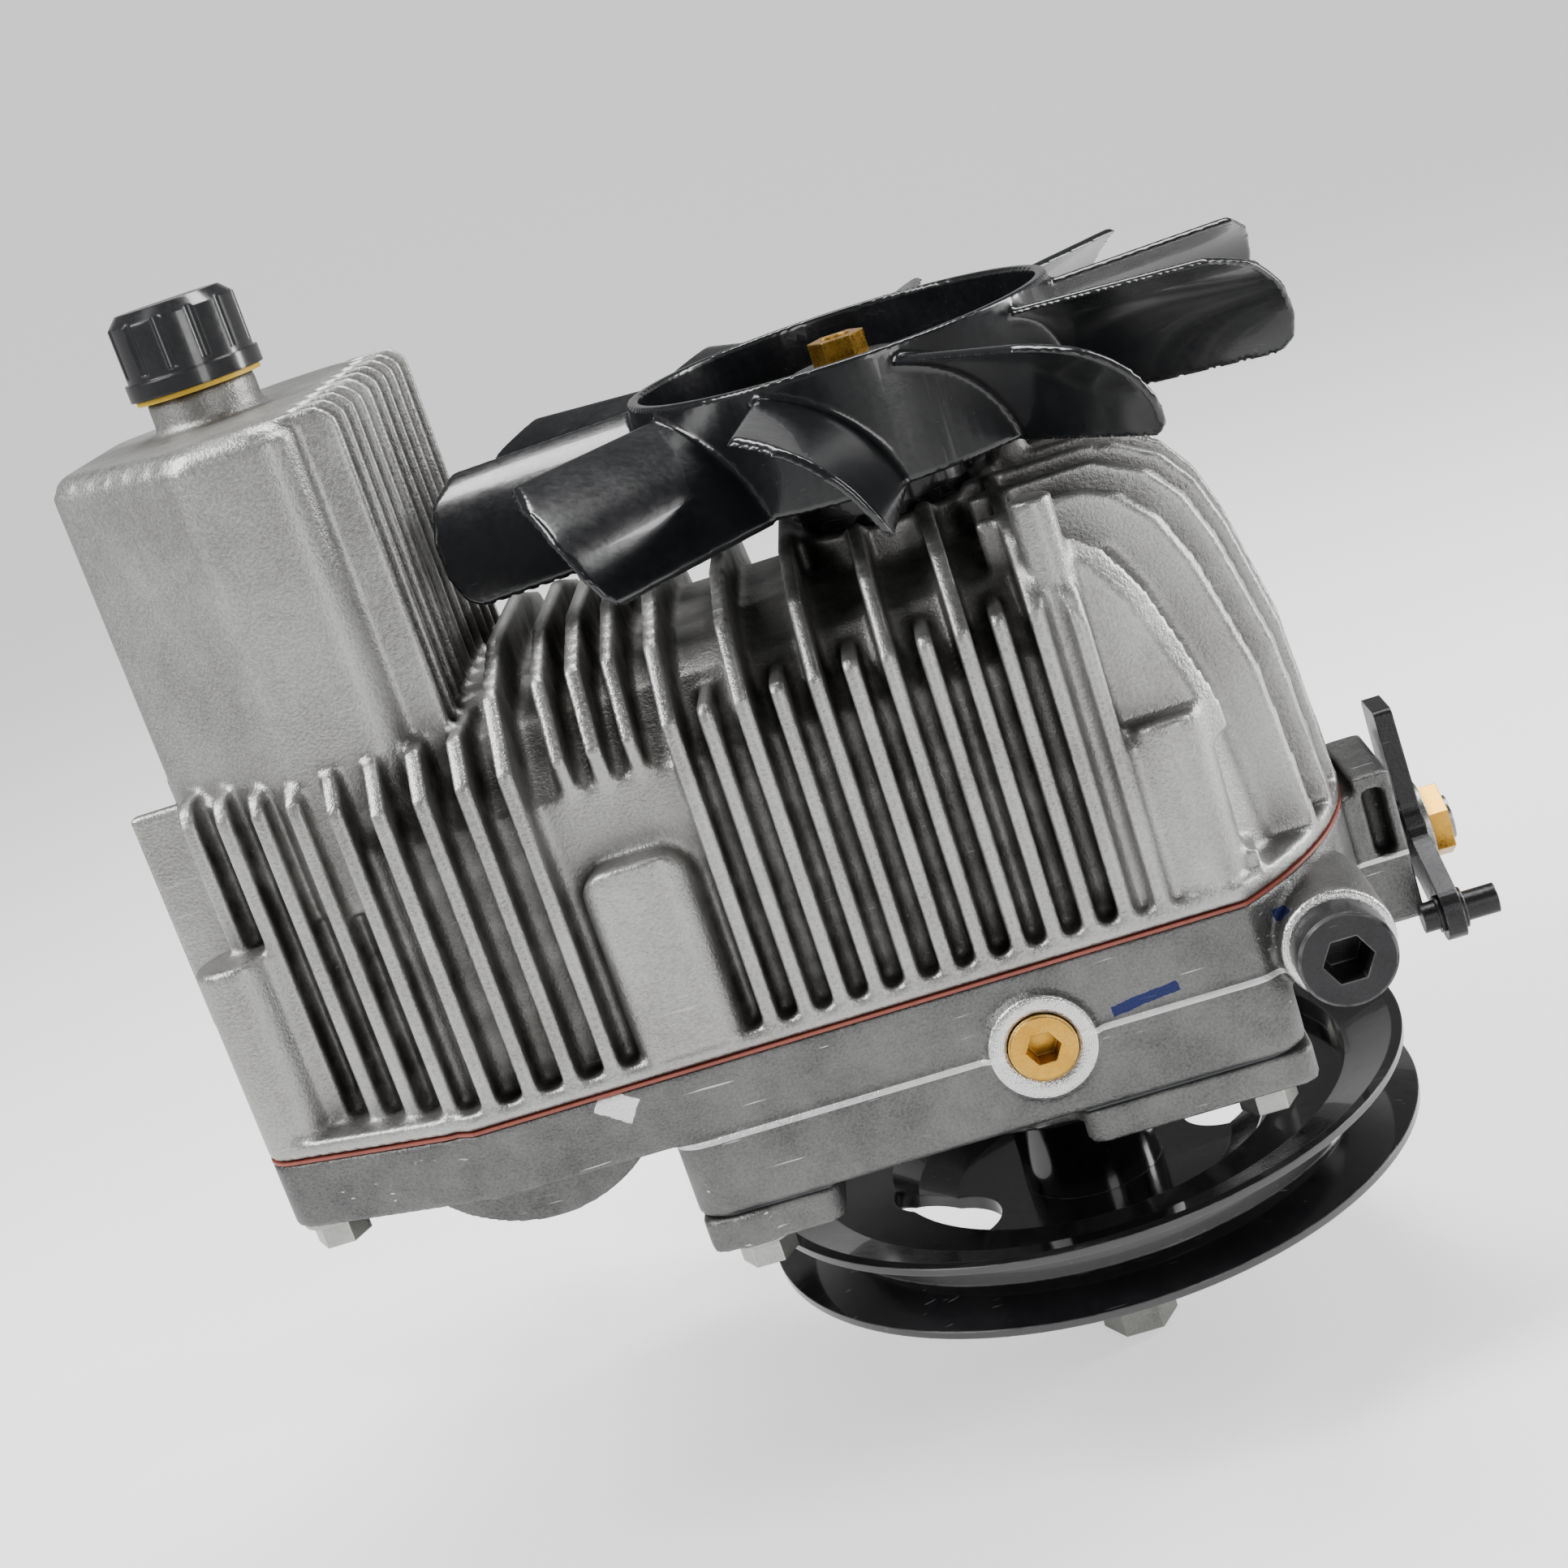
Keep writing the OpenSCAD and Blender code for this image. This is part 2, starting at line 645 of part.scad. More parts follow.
module bottom_cover() {
    color([0.50, 0.50, 0.49]) at_split() difference() {
        union() {
            translate([0, 0, cover_z - cover_t]) linear_extrude(cover_t) cover_outline();
            translate([0, 0, snout_z]) cylinder(r = 27, h = cover_z - snout_z);
            translate([0, 0, snout_z + 7]) cylinder(r1 = 30, r2 = 42, h = cover_z - snout_z - 8);
            for (i = [0:7]) rotate([0, 0, i * 45 + 20])
                plate_xz(-2.5, 5) polygon([[20, snout_z + 3], [31, snout_z + 3], [52, cover_z - 2],
                                           [20, cover_z - 2]]);
        }
        translate([0, 0, cover_z - bearing_w]) cylinder(d = bearing_od, h = bearing_w + 1);
        translate([0, 0, snout_z - 1]) cylinder(d = seal_od, h = seal_w + 1);
        translate([0, 0, snout_z - 1]) cylinder(r = shaft_r + 3, h = 40);
        for (p = cover_bolt_places)
            translate([p[0], p[1], cover_z - 20]) cylinder(d = bolt_d + 2 * bolt_gap, h = 30);
    }
}

module cover_gasket() {
    color([0.20, 0.22, 0.24]) at_split() translate([0, 0, cover_z]) difference() {
        linear_extrude(cover_gap) intersection() {
            cover_outline();
            sump_outline(0);
        }
        translate([0, 0, -1]) cylinder(r = 46, h = 5);
        for (p = cover_bolt_places) translate([p[0], p[1], -2]) cylinder(d = bolt_d + 2 * bolt_gap, h = 4);
    }
}

module cover_bolts() {
    color([0.80, 0.81, 0.80]) at_split() for (p = cover_bolt_places)
        translate([p[0], p[1], cover_z - cover_t]) flange_bolt(bolt_d, 70, 13);
}

// ---- Filler cap and plugs ---------------------------------------------------------------

cap_z = tank_z + 10.4;

module reservoir_cap() {
    flutes = 12;
    color([0.04, 0.04, 0.05]) at_split() translate([-neck_x, neck_y, cap_z]) difference() {
        union() {
            cylinder(d = cap_d, h = 4.5);
            cylinder(d = cap_d - 2, h = cap_h - 3);
            translate([0, 0, cap_h - 3]) cylinder(d1 = cap_d - 2, d2 = cap_d - 8, h = 3);
        }
        for (i = [0:flutes - 1]) rotate([0, 0, i * 360 / flutes])
            translate([cap_d / 2 + 0.2, 0, 6]) cylinder(r = 1.9, h = cap_h);
        translate([0, 0, -1]) cylinder(d = cap_d - 11 + 2 * part_gap, h = neck_top - cap_z + part_gap + 1);
    }
}

module cap_seal() {
    color([0.93, 0.70, 0.10]) at_split() translate([-neck_x, neck_y, cap_z - 1.4])
        ring(cap_d - 2.5, cap_d - 11 + 2 * part_gap, 1.3);
}

module socket_plug(head_d, head_h, shank_d, shank_l, across) {
    difference() {
        union() {
            cylinder(d = head_d - 1, h = 0.5);
            translate([0, 0, 0.5]) cylinder(d = head_d, h = head_h - 0.5);
            cylinder(d = shank_d, h = head_h + shank_l);
        }
        translate([0, 0, -1]) hexagon(across, head_h + 4);
    }
}

module test_plug() {
    color([0.90, 0.72, 0.36]) at_split() along_y(test_x, -test_face - 0.5, test_z)
        socket_plug(17.5, 2.9, 14, 10, 7.9);
}

module port_plug() {
    color([0.05, 0.05, 0.06]) at_split() along_y(plug_x, -plug_face - 10, plug_z)
        socket_plug(24.5, 9.8, 16, 14, 11.1);
}

module port_o_ring() {
    color([0.12, 0.11, 0.11]) at_split() along_y(plug_x, -plug_face + 1, plug_z)
        rotate_extrude() translate([9.2, 0]) circle(d = 1.7, $fn = 24);
}

// ---- Pump -------------------------------------------------------------------------------

module center_section() {
    color([0.42, 0.42, 0.43]) at_split() difference() {
        union() {
            translate([0, 0, plate_z]) linear_extrude(plate_t) {
                offset(r = 9, $fn = 32) square(62, center = true);
                translate([-motor_x - 13, -12]) square([motor_x, 32]);
            }
            box([-motor_x - 13, 4, 0], [-motor_x + 13, 20, plate_z + 1]);
            along_y(-motor_x, 4, 0) cylinder(r = 13, h = 16);
            along_y(-motor_x, 4, 0) cylinder(r = 25, h = 3);
        }
        translate([0, 0, plate_z - 1]) cylinder(r = shaft_r + run_gap, h = plate_t + 2);
        along_y(-motor_x, 0, 0) cylinder(r = motor_shaft_r + run_gap, h = 30);
        // oil passages between the pump face and the motor face
        for (y = [-8, 16]) translate([0, y, plate_z - 1]) cylinder(d = 8, h = 12);
        for (y = [-8, 16]) translate([-motor_x - 20, y, plate_z + 9]) rotate([0, 90, 0])
            cylinder(d = 6, h = motor_x + 20);
        for (p = center_bolt_places) translate([p[0], p[1], plate_z - 1])
            cylinder(d = bolt_d + 2 * bolt_gap, h = plate_t + 2);
    }
}
motor_shaft_r = 8;

module center_bolts() {
    color([0.70, 0.71, 0.72]) at_split() for (p = center_bolt_places)
        translate([p[0], p[1], plate_z]) flange_bolt(bolt_d, plate_t + 14, 13);
}

shaft_step_z = snout_z - 2;
key_w = 5;
key_low = 5.6;
key_l = 32;
stud_z = nut_z - 6;

module input_shaft() {
    color([0.66, 0.67, 0.69]) at_split() difference() {
        rotate_extrude() polygon([
            [0, hub_z + 1], [shaft_r - 1, hub_z + 1], [shaft_r - 1, shaft_step_z],
            [shaft_r, shaft_step_z], [shaft_r, stud_z], [4, stud_z], [4, nut_z + 5.5],
            [0, nut_z + 5.5]]);
        translate([0, 0, hub_z]) cylinder(d = 10, h = 32);
        translate([key_low, -key_w / 2, hub_z]) cube([6, key_w, key_l + 2]);
    }
}

module input_bearings() {
    color([0.75, 0.76, 0.78]) at_split() {
        translate([0, 0, ceiling_z]) bearing(bearing_od, shaft_d + 2 * run_gap, bearing_w);
        translate([0, 0, cover_z - bearing_w]) bearing(bearing_od, shaft_d + 2 * run_gap, bearing_w);
    }
}

module input_seals() {
    color([0.14, 0.13, 0.13]) at_split() {
        translate([0, 0, neck_z - seal_w - 1]) ring(seal_od, shaft_d + 2 * run_gap, seal_w);
        translate([0, 0, snout_z]) ring(seal_od, shaft_d + 2 * run_gap, seal_w);
    }
}

module pump_block() {
    color([0.62, 0.58, 0.50]) at_split() difference() {
        translate([0, 0, block_z]) cylinder(d = block_d, h = block_h - run_gap);
        translate([0, 0, block_z - 1]) cylinder(d = shaft_d, h = block_h + 2);
        for (i = [1:PISTONS]) rotate([0, 0, piston_angle(i)]) translate([piston_pcd / 2, 0, block_z - 1]) {
            cylinder(d = piston_d + 2 * run_gap, h = block_h - 5);
            cylinder(d = 5, h = block_h + 2);
        }
    }
}
function piston_angle(i) = 18 + (i - 1) * 360 / PISTONS;

// Pistons are drawn at the top of their stroke, where the race clears them at any tilt
tilt_max = 15;
stroke_top = (piston_pcd / 2 + 0.5) * tan(tilt_max) + part_gap;

// Round-nosed hollow piston; its skirt runs in the block
module piston(d, length) {
    difference() {
        union() {
            translate([0, 0, d / 2]) sphere(d = d);
            translate([0, 0, d / 2]) cylinder(d = d, h = length - d / 2);
        }
        translate([0, 0, d]) cylinder(d = d * 0.6, h = length);
    }
}

module pump_piston(i) {
    color([0.80, 0.80, 0.82]) at_split() rotate([0, 0, piston_angle(i)])
        translate([piston_pcd / 2, 0, race_z + stroke_top]) piston(piston_d, 38);
}

race_t = 6;
swash_t = 5;
swash_r = 25;

module thrust_race() {
    color([0.72, 0.73, 0.75]) at_split() translate([0, 0, race_z - race_t])
        ring(2 * swash_r - 1.4, 24, race_t);
}

module swashplate() {
    lug = 33;
    color([0.55, 0.56, 0.58]) at_split() {
        difference() {
            union() {
                translate([0, 0, race_z - race_t - swash_t]) cylinder(r = swash_r, h = swash_t);
                for (x = [-1, 1]) box([min(x * 24.8, x * lug), -8, race_z - race_t - swash_t],
                                      [max(x * 24.8, x * lug), 8, race_z]);
                for (x = [-1, 1]) translate([x > 0 ? 24.8 : -lug, 0, race_z]) rotate([0, 90, 0])
                    cylinder(r = journal_r, h = lug - 24.8);
                translate([lug - 1, 0, race_z]) rotate([0, 90, 0]) cylinder(r = journal_r, h = arm_x - lug + 1);
                translate([-43.5, 0, race_z]) rotate([0, 90, 0]) cylinder(r = journal_r, h = 12);
                translate([arm_x - 1, 0, race_z]) rotate([0, 90, 0])
                    cylinder(r = 6, h = arm_t + washer_t + nut_t + 2.5);
            }
            translate([0, 0, race_z - 20]) cylinder(r = 14, h = 40);
            translate([0, 0, race_z - race_t]) cylinder(r = swash_r - 0.5, h = 20);
        }
    }
}

module trunnion_bush() {
    color([0.70, 0.52, 0.30]) at_split() translate([-44, 0, race_z]) rotate([0, 90, 0])
        ring(2 * journal_r + 4, 2 * (journal_r + run_gap), 9);
}

module trunnion_seal() {
    color([0.14, 0.13, 0.13]) at_split() translate([block_end - 8, 0, race_z]) rotate([0, 90, 0])
        ring(trunnion_seal_od, 2 * (journal_r + run_gap), 7);
}

// ---- Control arm ------------------------------------------------------------------------

pin_y = -30;
pin_z = race_z - 14;
pin_reach = 10;
nut_t = 5.5;

module control_arm() {
    color([0.06, 0.06, 0.07]) at_split() plate_yz(arm_x, arm_t) difference() {
        offset(r = -6, $fn = 32) offset(delta = 6) union() {
            translate([0, race_z]) circle(r = 13);
            offset(r = 2, $fn = 32) polygon([[-9, race_z], [-3, 12], [9, 12], [9, race_z]]);
            offset(r = 7, $fn = 32) polygon([[-2, race_z - 2], [pin_y, pin_z - 0.5], [pin_y, pin_z + 0.5],
                                             [2, race_z + 2]]);
        }
        translate([0, race_z]) circle(r = 6);
        translate([pin_y, pin_z]) circle(r = pin_r);
    }
}
pin_r = 4;
washer_t = 1.6;

module control_washer() {
    color([0.75, 0.76, 0.74]) at_split() translate([arm_x + arm_t, 0, race_z]) rotate([0, 90, 0])
        ring(24, 12, washer_t);
}

module control_nut() {
    color([0.78, 0.74, 0.62]) at_split() translate([arm_x + arm_t + washer_t, 0, race_z])
        rotate([0, 90, 0]) difference() {
            hexagon(18, nut_t);
            translate([0, 0, -1]) cylinder(d = 12, h = nut_t + 2);
        }
}

module control_pin() {
    color([0.12, 0.12, 0.13]) at_split() translate([arm_x - 5, pin_y, pin_z]) rotate([0, 90, 0]) {
        cylinder(r = pin_r, h = 5 + arm_t + pin_reach);
        translate([0, 0, 4]) cylinder(r = 5, h = 1);
        translate([0, 0, 5 + arm_t]) cylinder(r = 5.5, h = 1.2);
    }
}

// ---- Charge pump ------------------------------------------------------------------------

rotor_offset = 2.2;
lobe_ring_r = 20;
lobe_r = 4.6;
charge_od = 52;
rotor_gap = 0.25;

function rotor_point(a, n, r) =
    let (turn = atan2(sin((1 - n) * a), lobe_ring_r / (rotor_offset * n) - cos((1 - n) * a)))
    [lobe_ring_r * cos(a) - r * cos(a + turn) - rotor_offset * cos(n * a),
     -lobe_ring_r * sin(a) + r * sin(a + turn) + rotor_offset * sin(n * a)];

module charge_pump_body() {
    color([0.50, 0.50, 0.51]) at_split() translate([0, 0, charge_z]) difference() {
        cylinder(r = 33, h = charge_t + 5);
        translate([-rotor_offset, 0, -1]) cylinder(d = charge_od + 2 * run_gap, h = charge_t + 1);
        cylinder(r = shaft_r + run_gap, h = 30);
    }
}

module charge_inner_rotor() {
    color([0.45, 0.45, 0.47]) at_split() translate([0, 0, charge_z + run_gap]) difference() {
        linear_extrude(charge_t - 2 * run_gap) polygon(
            [for (a = [0:2:358]) rotor_point(a, charge_teeth + 1, lobe_r + rotor_gap)]);
        translate([0, 0, -1]) cylinder(r = shaft_r, h = charge_t + 2);
    }
}

module charge_outer_rotor() {
    color([0.36, 0.36, 0.38]) at_split() translate([-rotor_offset, 0, charge_z + run_gap]) {
        h = charge_t - 2 * run_gap;
        difference() {
            cylinder(d = charge_od, h = h);
            translate([0, 0, -1]) cylinder(r = lobe_ring_r + 0.4, h = h + 2);
        }
        for (i = [0:charge_teeth]) rotate([0, 0, i * 360 / (charge_teeth + 1)])
            translate([lobe_ring_r, 0, 0]) cylinder(r = lobe_r, h = h);
    }
}

module oil_filter() {
    pleats = 30;
    color([0.86, 0.82, 0.70]) at_split() translate([0, 0, charge_z + charge_t + 5.2])
        linear_extrude(ceiling_z - charge_z - charge_t - 6) difference() {
            polygon([for (i = [0:2 * pleats - 1]) polar(i % 2 == 0 ? 28 : 24, i * 180 / pleats)]);
            circle(r = 12);
        }
}

// ---- Fan and pulley ---------------------------------------------------------------------

fan_base = drum_z - 2;
blade_start = 12;
tip_r = fan_d / 2;

module blade() {
    chord = (drum_h - 3) / cos(blade_pitch);
    bow = 6;
    steps = 10;
    half = 1.1;
    arc = [for (i = [-steps:steps]) [i / steps * chord / 2, bow * (1 - (i / steps) * (i / steps))]];
    translate([0, 0, drum_z + drum_h / 2]) rotate([90, 0, 90]) translate([0, 0, drum_d / 2 - 3])
        linear_extrude(fan_d / 2 - drum_d / 2 + 4) rotate(blade_pitch - 90) translate([0, -bow / 2])
        polygon(concat([for (p = arc) [p[0], p[1] - half]],
                       [for (i = [len(arc) - 1:-1:0]) [arc[i][0], arc[i][1] + half]]));
}

module fan() {
    color([0.04, 0.05, 0.06]) at_split() {
        difference() {
            union() {
                translate([0, 0, drum_z]) ring(drum_d, drum_d - 6, drum_h);
                translate([0, 0, drum_z + 2]) cylinder(d = drum_d - 2, h = 3);
                translate([0, 0, fan_base]) cylinder(r = 30, h = 7);
                translate([0, 0, fan_base]) cylinder(r = 15, h = nut_z - fan_base);
                intersection() {
                    for (i = [0:blades - 1]) rotate([0, 0, blade_start + i * 360 / blades]) blade();
                    translate([0, 0, drum_z]) rotate_extrude() polygon([
                        [drum_d / 2 - 2, -2.5], [tip_r - 8, -2.5], [tip_r - 2, 2], [tip_r, 8],
                        [tip_r, drum_h - 16], [tip_r - 3, drum_h - 8], [tip_r - 10, drum_h - 3],
                        [tip_r - 26, drum_h + 1], [drum_d / 2 - 2, drum_h + 1]]);
                }
                for (i = [0:4]) rotate([0, 0, i * 72]) box([14, -1.5, drum_z + 4], [drum_d / 2 - 1, 1.5, drum_z + 16]);
            }
            translate([0, 0, fan_base - 1]) cylinder(r = shaft_r, h = stud_z - fan_base + 1);
            translate([0, 0, stud_z - 1]) cylinder(r = 4, h = 20);
        }
    }
}

module fan_spacer() {
    color([0.05, 0.05, 0.06]) at_split() translate([0, 0, neck_z + part_gap]) difference() {
        union() {
            cylinder(r = spacer_r - 1.5, h = fan_base - neck_z - part_gap);
            translate([0, 0, 3]) cylinder(r = spacer_r, h = fan_base - neck_z - part_gap - 3);
        }
        translate([0, 0, -1]) cylinder(r = shaft_r, h = 30);
    }
}

module fan_nut() {
    color([0.86, 0.70, 0.36]) at_split() translate([0, 0, nut_z]) difference() {
        hexagon(13, 6.5);
        translate([0, 0, -1]) cylinder(r = 4, h = 10);
    }
}

hub_top = split_z + shaft_step_z - 0.1;
rim_r = pulley_d / 2;

module pulley() {
    rim = pulley_h / 2;
    low = 4.6;
    root = rim_r - groove_depth;
    color([0.03, 0.03, 0.04]) difference() {
        rotate_extrude($fn = 128) polygon([
            [rim_r, rim], [rim_r, rim - 2], [root + 1, low - 1], [root + 1, 1 - low], [rim_r, 2 - rim],
            [rim_r, -rim], [rim_r - 3, -rim], [root - 2, -low - 0.5], [58, -low - 0.5],
            [52, -low - 6], [40, -low - 12], [24, -low - 14], [21, -low - 18], [20, -hub_drop],
            [shaft_r - 1, -hub_drop], [shaft_r - 1, hub_top], [19, hub_top], [20, -low - 9],
            [40, -low - 8.6], [50, -low - 3.2], [56, -low + 3.4], [root - 2, -low + 3.4],
            [root - 2, low + 0.5], [rim_r - 3, rim]]);
        for (i = [0:1]) rotate([0, 0, i * 180 + 17]) translate([44, 0, -30]) cylinder(d = 28, h = 40);
        translate([key_low, -key_w / 2, -hub_drop - 1]) cube([4.4, key_w, key_l + 3]);
    }
}

module pulley_key() {
    color([0.60, 0.60, 0.62]) translate([key_low + 0.05, -key_w / 2 + 0.05, -hub_drop + 1.1])
        cube([4.3, key_w - 0.1, key_l]);
}

module pulley_washer() {
    color([0.70, 0.71, 0.72]) translate([0, 0, -hub_drop - 3]) ring(32, 10, 3);
}

module pulley_bolt() {
    color([0.80, 0.81, 0.80]) translate([0, 0, -hub_drop - 3]) flange_bolt(10, 28, 19);
}

// ---- Motor ------------------------------------------------------------------------------

motor_d = 50;
motor_piston_d = 11;
motor_pcd = 33;
motor_len = 38;
motor_tilt = 10;
motor_race_y = -50;
motor_nose_y = motor_race_y + (motor_pcd / 2 + 4) * tan(motor_tilt) + part_gap;

module motor_block() {
    color([0.62, 0.58, 0.50]) at_split() difference() {
        along_y(-motor_x, 4 - motor_len, 0) cylinder(d = motor_d, h = motor_len - run_gap);
        along_y(-motor_x, -60, 0) cylinder(r = motor_shaft_r, h = 80);
        for (i = [0:4]) {
            x = -motor_x + motor_pcd / 2 * cos(i * 72);
            z = motor_pcd / 2 * sin(i * 72);
            along_y(x, 4 - motor_len - 1, z) cylinder(d = motor_piston_d + 2 * run_gap, h = motor_len - 5);
            along_y(x, 0 - motor_len, z) cylinder(d = 5, h = motor_len + 10);
        }
    }
}

module motor_pistons() {
    color([0.80, 0.80, 0.82]) at_split() for (i = [0:4])
        along_y(-motor_x + motor_pcd / 2 * cos(i * 72), motor_nose_y, motor_pcd / 2 * sin(i * 72))
            piston(motor_piston_d, 34);
}

module motor_swash() {
    color([0.55, 0.56, 0.58]) at_split() difference() {
        along_y(-motor_x, -inner_y, 0) cylinder(r = 25, h = inner_y + motor_race_y + 6);
        translate([-motor_x, motor_race_y, 0]) rotate([motor_tilt, 0, 0]) box([-40, 0, -40], [40, 20, 40]);
        along_y(-motor_x, -inner_y - 1, 0) cylinder(d = bush_od, h = 40);
    }
}

module motor_shaft() {
    end_y = motor_bearing_y + motor_bearing_w;
    color([0.66, 0.67, 0.69]) at_split() {
        along_y(-motor_x, -inner_y + 1, 0) cylinder(r = motor_shaft_r, h = motor_bearing_y + inner_y - 1);
        along_y(-motor_x, motor_bearing_y - 1, 0) cylinder(r = 7.5, h = 1 + motor_bearing_w);
        along_y(-motor_x, end_y, 0) cylinder(r = 7, h = brake_y + brake_w - end_y + 1);
        gear_y(-motor_x, stage_1_y, 0, teeth_1, mod_1, stage_1_w, motor_shaft_r, angle_1);
    }
}

module motor_bearing() {
    color([0.75, 0.76, 0.78]) at_split() along_y(-motor_x, motor_bearing_y, 0)
        bearing(motor_bearing_od, 15 + 2 * run_gap, motor_bearing_w);
}

// ---- Reduction gears --------------------------------------------------------------------

module intermediate_gear() {
    color([0.50, 0.50, 0.52]) at_split() gear_y(-mid_x, stage_1_y, mid_z, teeth_2, mod_1, stage_1_w,
        mid_shaft_d, angle_1 + 180 + 180 / teeth_2);
}

module intermediate_shaft() {
    color([0.60, 0.61, 0.63]) at_split() {
        along_y(-mid_x, 8.5, mid_z) cylinder(d = mid_shaft_d, h = inner_y + 7 - 8.5);
        gear_y(-mid_x, stage_2_y, mid_z, teeth_3, mod_2, stage_2_w, mid_shaft_d, angle_2);
    }
}

module shaft_bushes() {
    color([0.70, 0.52, 0.30]) at_split() {
        along_y(-mid_x, 8, mid_z) ring(bush_od, mid_shaft_d + 2 * run_gap, 12);
        along_y(-mid_x, inner_y, mid_z) ring(bush_od, mid_shaft_d + 2 * run_gap, 8);
        along_y(-motor_x, -inner_y, 0) ring(bush_od, 2 * (motor_shaft_r + run_gap), 6);
    }
}

module bull_gear() {
    color([0.45, 0.45, 0.47]) at_split() difference() {
        gear_y(-axle_x, stage_2_y, 0, teeth_4, mod_2, stage_2_w, axle_d, angle_2 + 180 + 180 / teeth_4);
        for (y = [stage_2_y - 1, stage_2_y + stage_2_w - 5]) along_y(-axle_x, y, 0) ring(76, 44, 6);
    }
}

// ---- Axle and wheel hub -----------------------------------------------------------------

hub_r = 26;
hub_flange_t = 10;
hub_start = horn_end + 3;
hub_end = wheel_face + 8;
stud_knurl = 0.6;

module axle_shaft() {
    color([0.66, 0.67, 0.69]) at_split() {
        along_y(-axle_x, front_bearing_y + 0.5, 0) cylinder(d = axle_d, h = hub_end - 4.5 - front_bearing_y);
        along_y(-axle_x, hub_end - 4, 0) cylinder(d = 19, h = 22);
    }
}

module axle_bearings() {
    color([0.75, 0.76, 0.78]) at_split() {
        along_y(-axle_x, front_bearing_y, 0) bearing(front_bearing_od, axle_d + 2 * run_gap, front_bearing_w);
        along_y(-axle_x, rear_bearing_y, 0) bearing(axle_bearing_od, axle_d + 2 * run_gap, axle_bearing_w);
    }
}

module shaft_seals() {
    color([0.14, 0.13, 0.13]) at_split() {
        along_y(-axle_x, rear_bearing_y + axle_bearing_w, 0) ring(axle_bearing_od, axle_d + 2 * run_gap, 8.5);
        along_y(-motor_x, motor_bearing_y + motor_bearing_w, 0) ring(motor_bearing_od, 14 + 2 * run_gap, 4.5);
    }
}

module wheel_hub() {
    color([0.24, 0.24, 0.25]) at_split() difference() {
        union() {
            along_y(-axle_x, hub_start, 0) cylinder(r = hub_r, h = hub_end - hub_start);
            along_y(-axle_x, wheel_face - hub_flange_t, 0) cylinder(d = stud_pcd + 30, h = hub_flange_t);
            along_y(-axle_x, wheel_face - hub_flange_t - 5, 0) cylinder(r1 = hub_r, r2 = hub_r + 14, h = 5.1);
        }
        along_y(-axle_x, hub_start - 1, 0) cylinder(d = axle_d, h = hub_end - 4 - hub_start + 1);
        along_y(-axle_x, hub_start, 0) cylinder(d = 19, h = 100);
        stud_places(wheel_face - hub_flange_t - 1) cylinder(d = stud_d + stud_knurl, h = hub_flange_t + 2);
    }
}

module stud_places(y) {
    for (i = [0:stud_count - 1]) {
        a = 90 + i * 360 / stud_count;
        along_y(-axle_x + stud_pcd / 2 * cos(a), y, stud_pcd / 2 * sin(a)) children();
    }
}

module wheel_studs() {
    color([0.72, 0.73, 0.74]) at_split() stud_places(wheel_face - hub_flange_t - 4) {
        cylinder(d = stud_d + 6, h = 4);
        cylinder(d = stud_d + stud_knurl, h = hub_flange_t + 4.5);
        cylinder(d = stud_d, h = hub_flange_t + 4 + 28);
    }
}

module hub_nut() {
    color([0.74, 0.74, 0.72]) at_split() along_y(-axle_x, hub_end, 0) difference() {
        union() {
            hexagon(30, 13);
            cylinder(r = 19, h = 3);
        }
        translate([0, 0, -1]) cylinder(d = 19, h = 20);
    }
}

// ---- Parking brake ----------------------------------------------------------------------

brake_x = 46;
brake_z = 24;
brake_y = front_y + 4.5;
brake_w = 12;
brake_pin_d = 10;
drum_brake_r = 15.5;
brake_reach = sqrt((motor_x - brake_x) * (motor_x - brake_x) + brake_z * brake_z);
cam_throw = 5;
cam_rest = 75;           // angle between the lobe and the drum with the brake off
cam_swing = 24;          // travel of the lever
cam_r = brake_reach - drum_brake_r - part_gap - cam_throw * cos(cam_rest - cam_swing);

module brake_drum() {
    color([0.40, 0.40, 0.41]) at_split() along_y(-motor_x, brake_y + 0.6, 0)
        ring(2 * drum_brake_r, 14, brake_w);
}

module brake_pivot() {
    color([0.74, 0.75, 0.74]) at_split() along_y(-brake_x, brake_y - 12, brake_z) {
        cylinder(d = brake_pin_d, h = 12 + brake_w + 1);
        translate([0, 0, 12 + brake_w + 1]) cylinder(d = 16, h = 2);
        translate([0, 0, 12 + brake_w + 3]) hexagon(13, 5);
    }
}

// Cam lever: the lobe swings towards the drum as the lever is pulled
module brake_lever() {
    lean = atan2(-brake_z, -motor_x + brake_x);
    color([0.08, 0.08, 0.09]) at_split() difference() {
        plate_xz(brake_y + part_gap, brake_w) difference() {
            union() {
                translate([-brake_x, brake_z]) circle(r = 10);
                translate([-brake_x, brake_z]) rotate(lean + cam_rest) translate([cam_throw, 0])
                    circle(r = cam_r);
                offset(r = 5, $fn = 32) polygon([[-brake_x - 4, brake_z], [-brake_x + 6, brake_z + 52],
                                                 [-brake_x + 8, brake_z + 52], [-brake_x + 5, brake_z]]);
            }
            translate([-brake_x, brake_z]) circle(d = brake_pin_d + 2 * run_gap);
            translate([-brake_x + 7, brake_z + 50]) circle(d = 6.5);
        }
        box([-brake_x - 20, brake_y + 6, brake_z + 14], [-brake_x + 30, brake_y + 30, brake_z + 80]);
    }
}

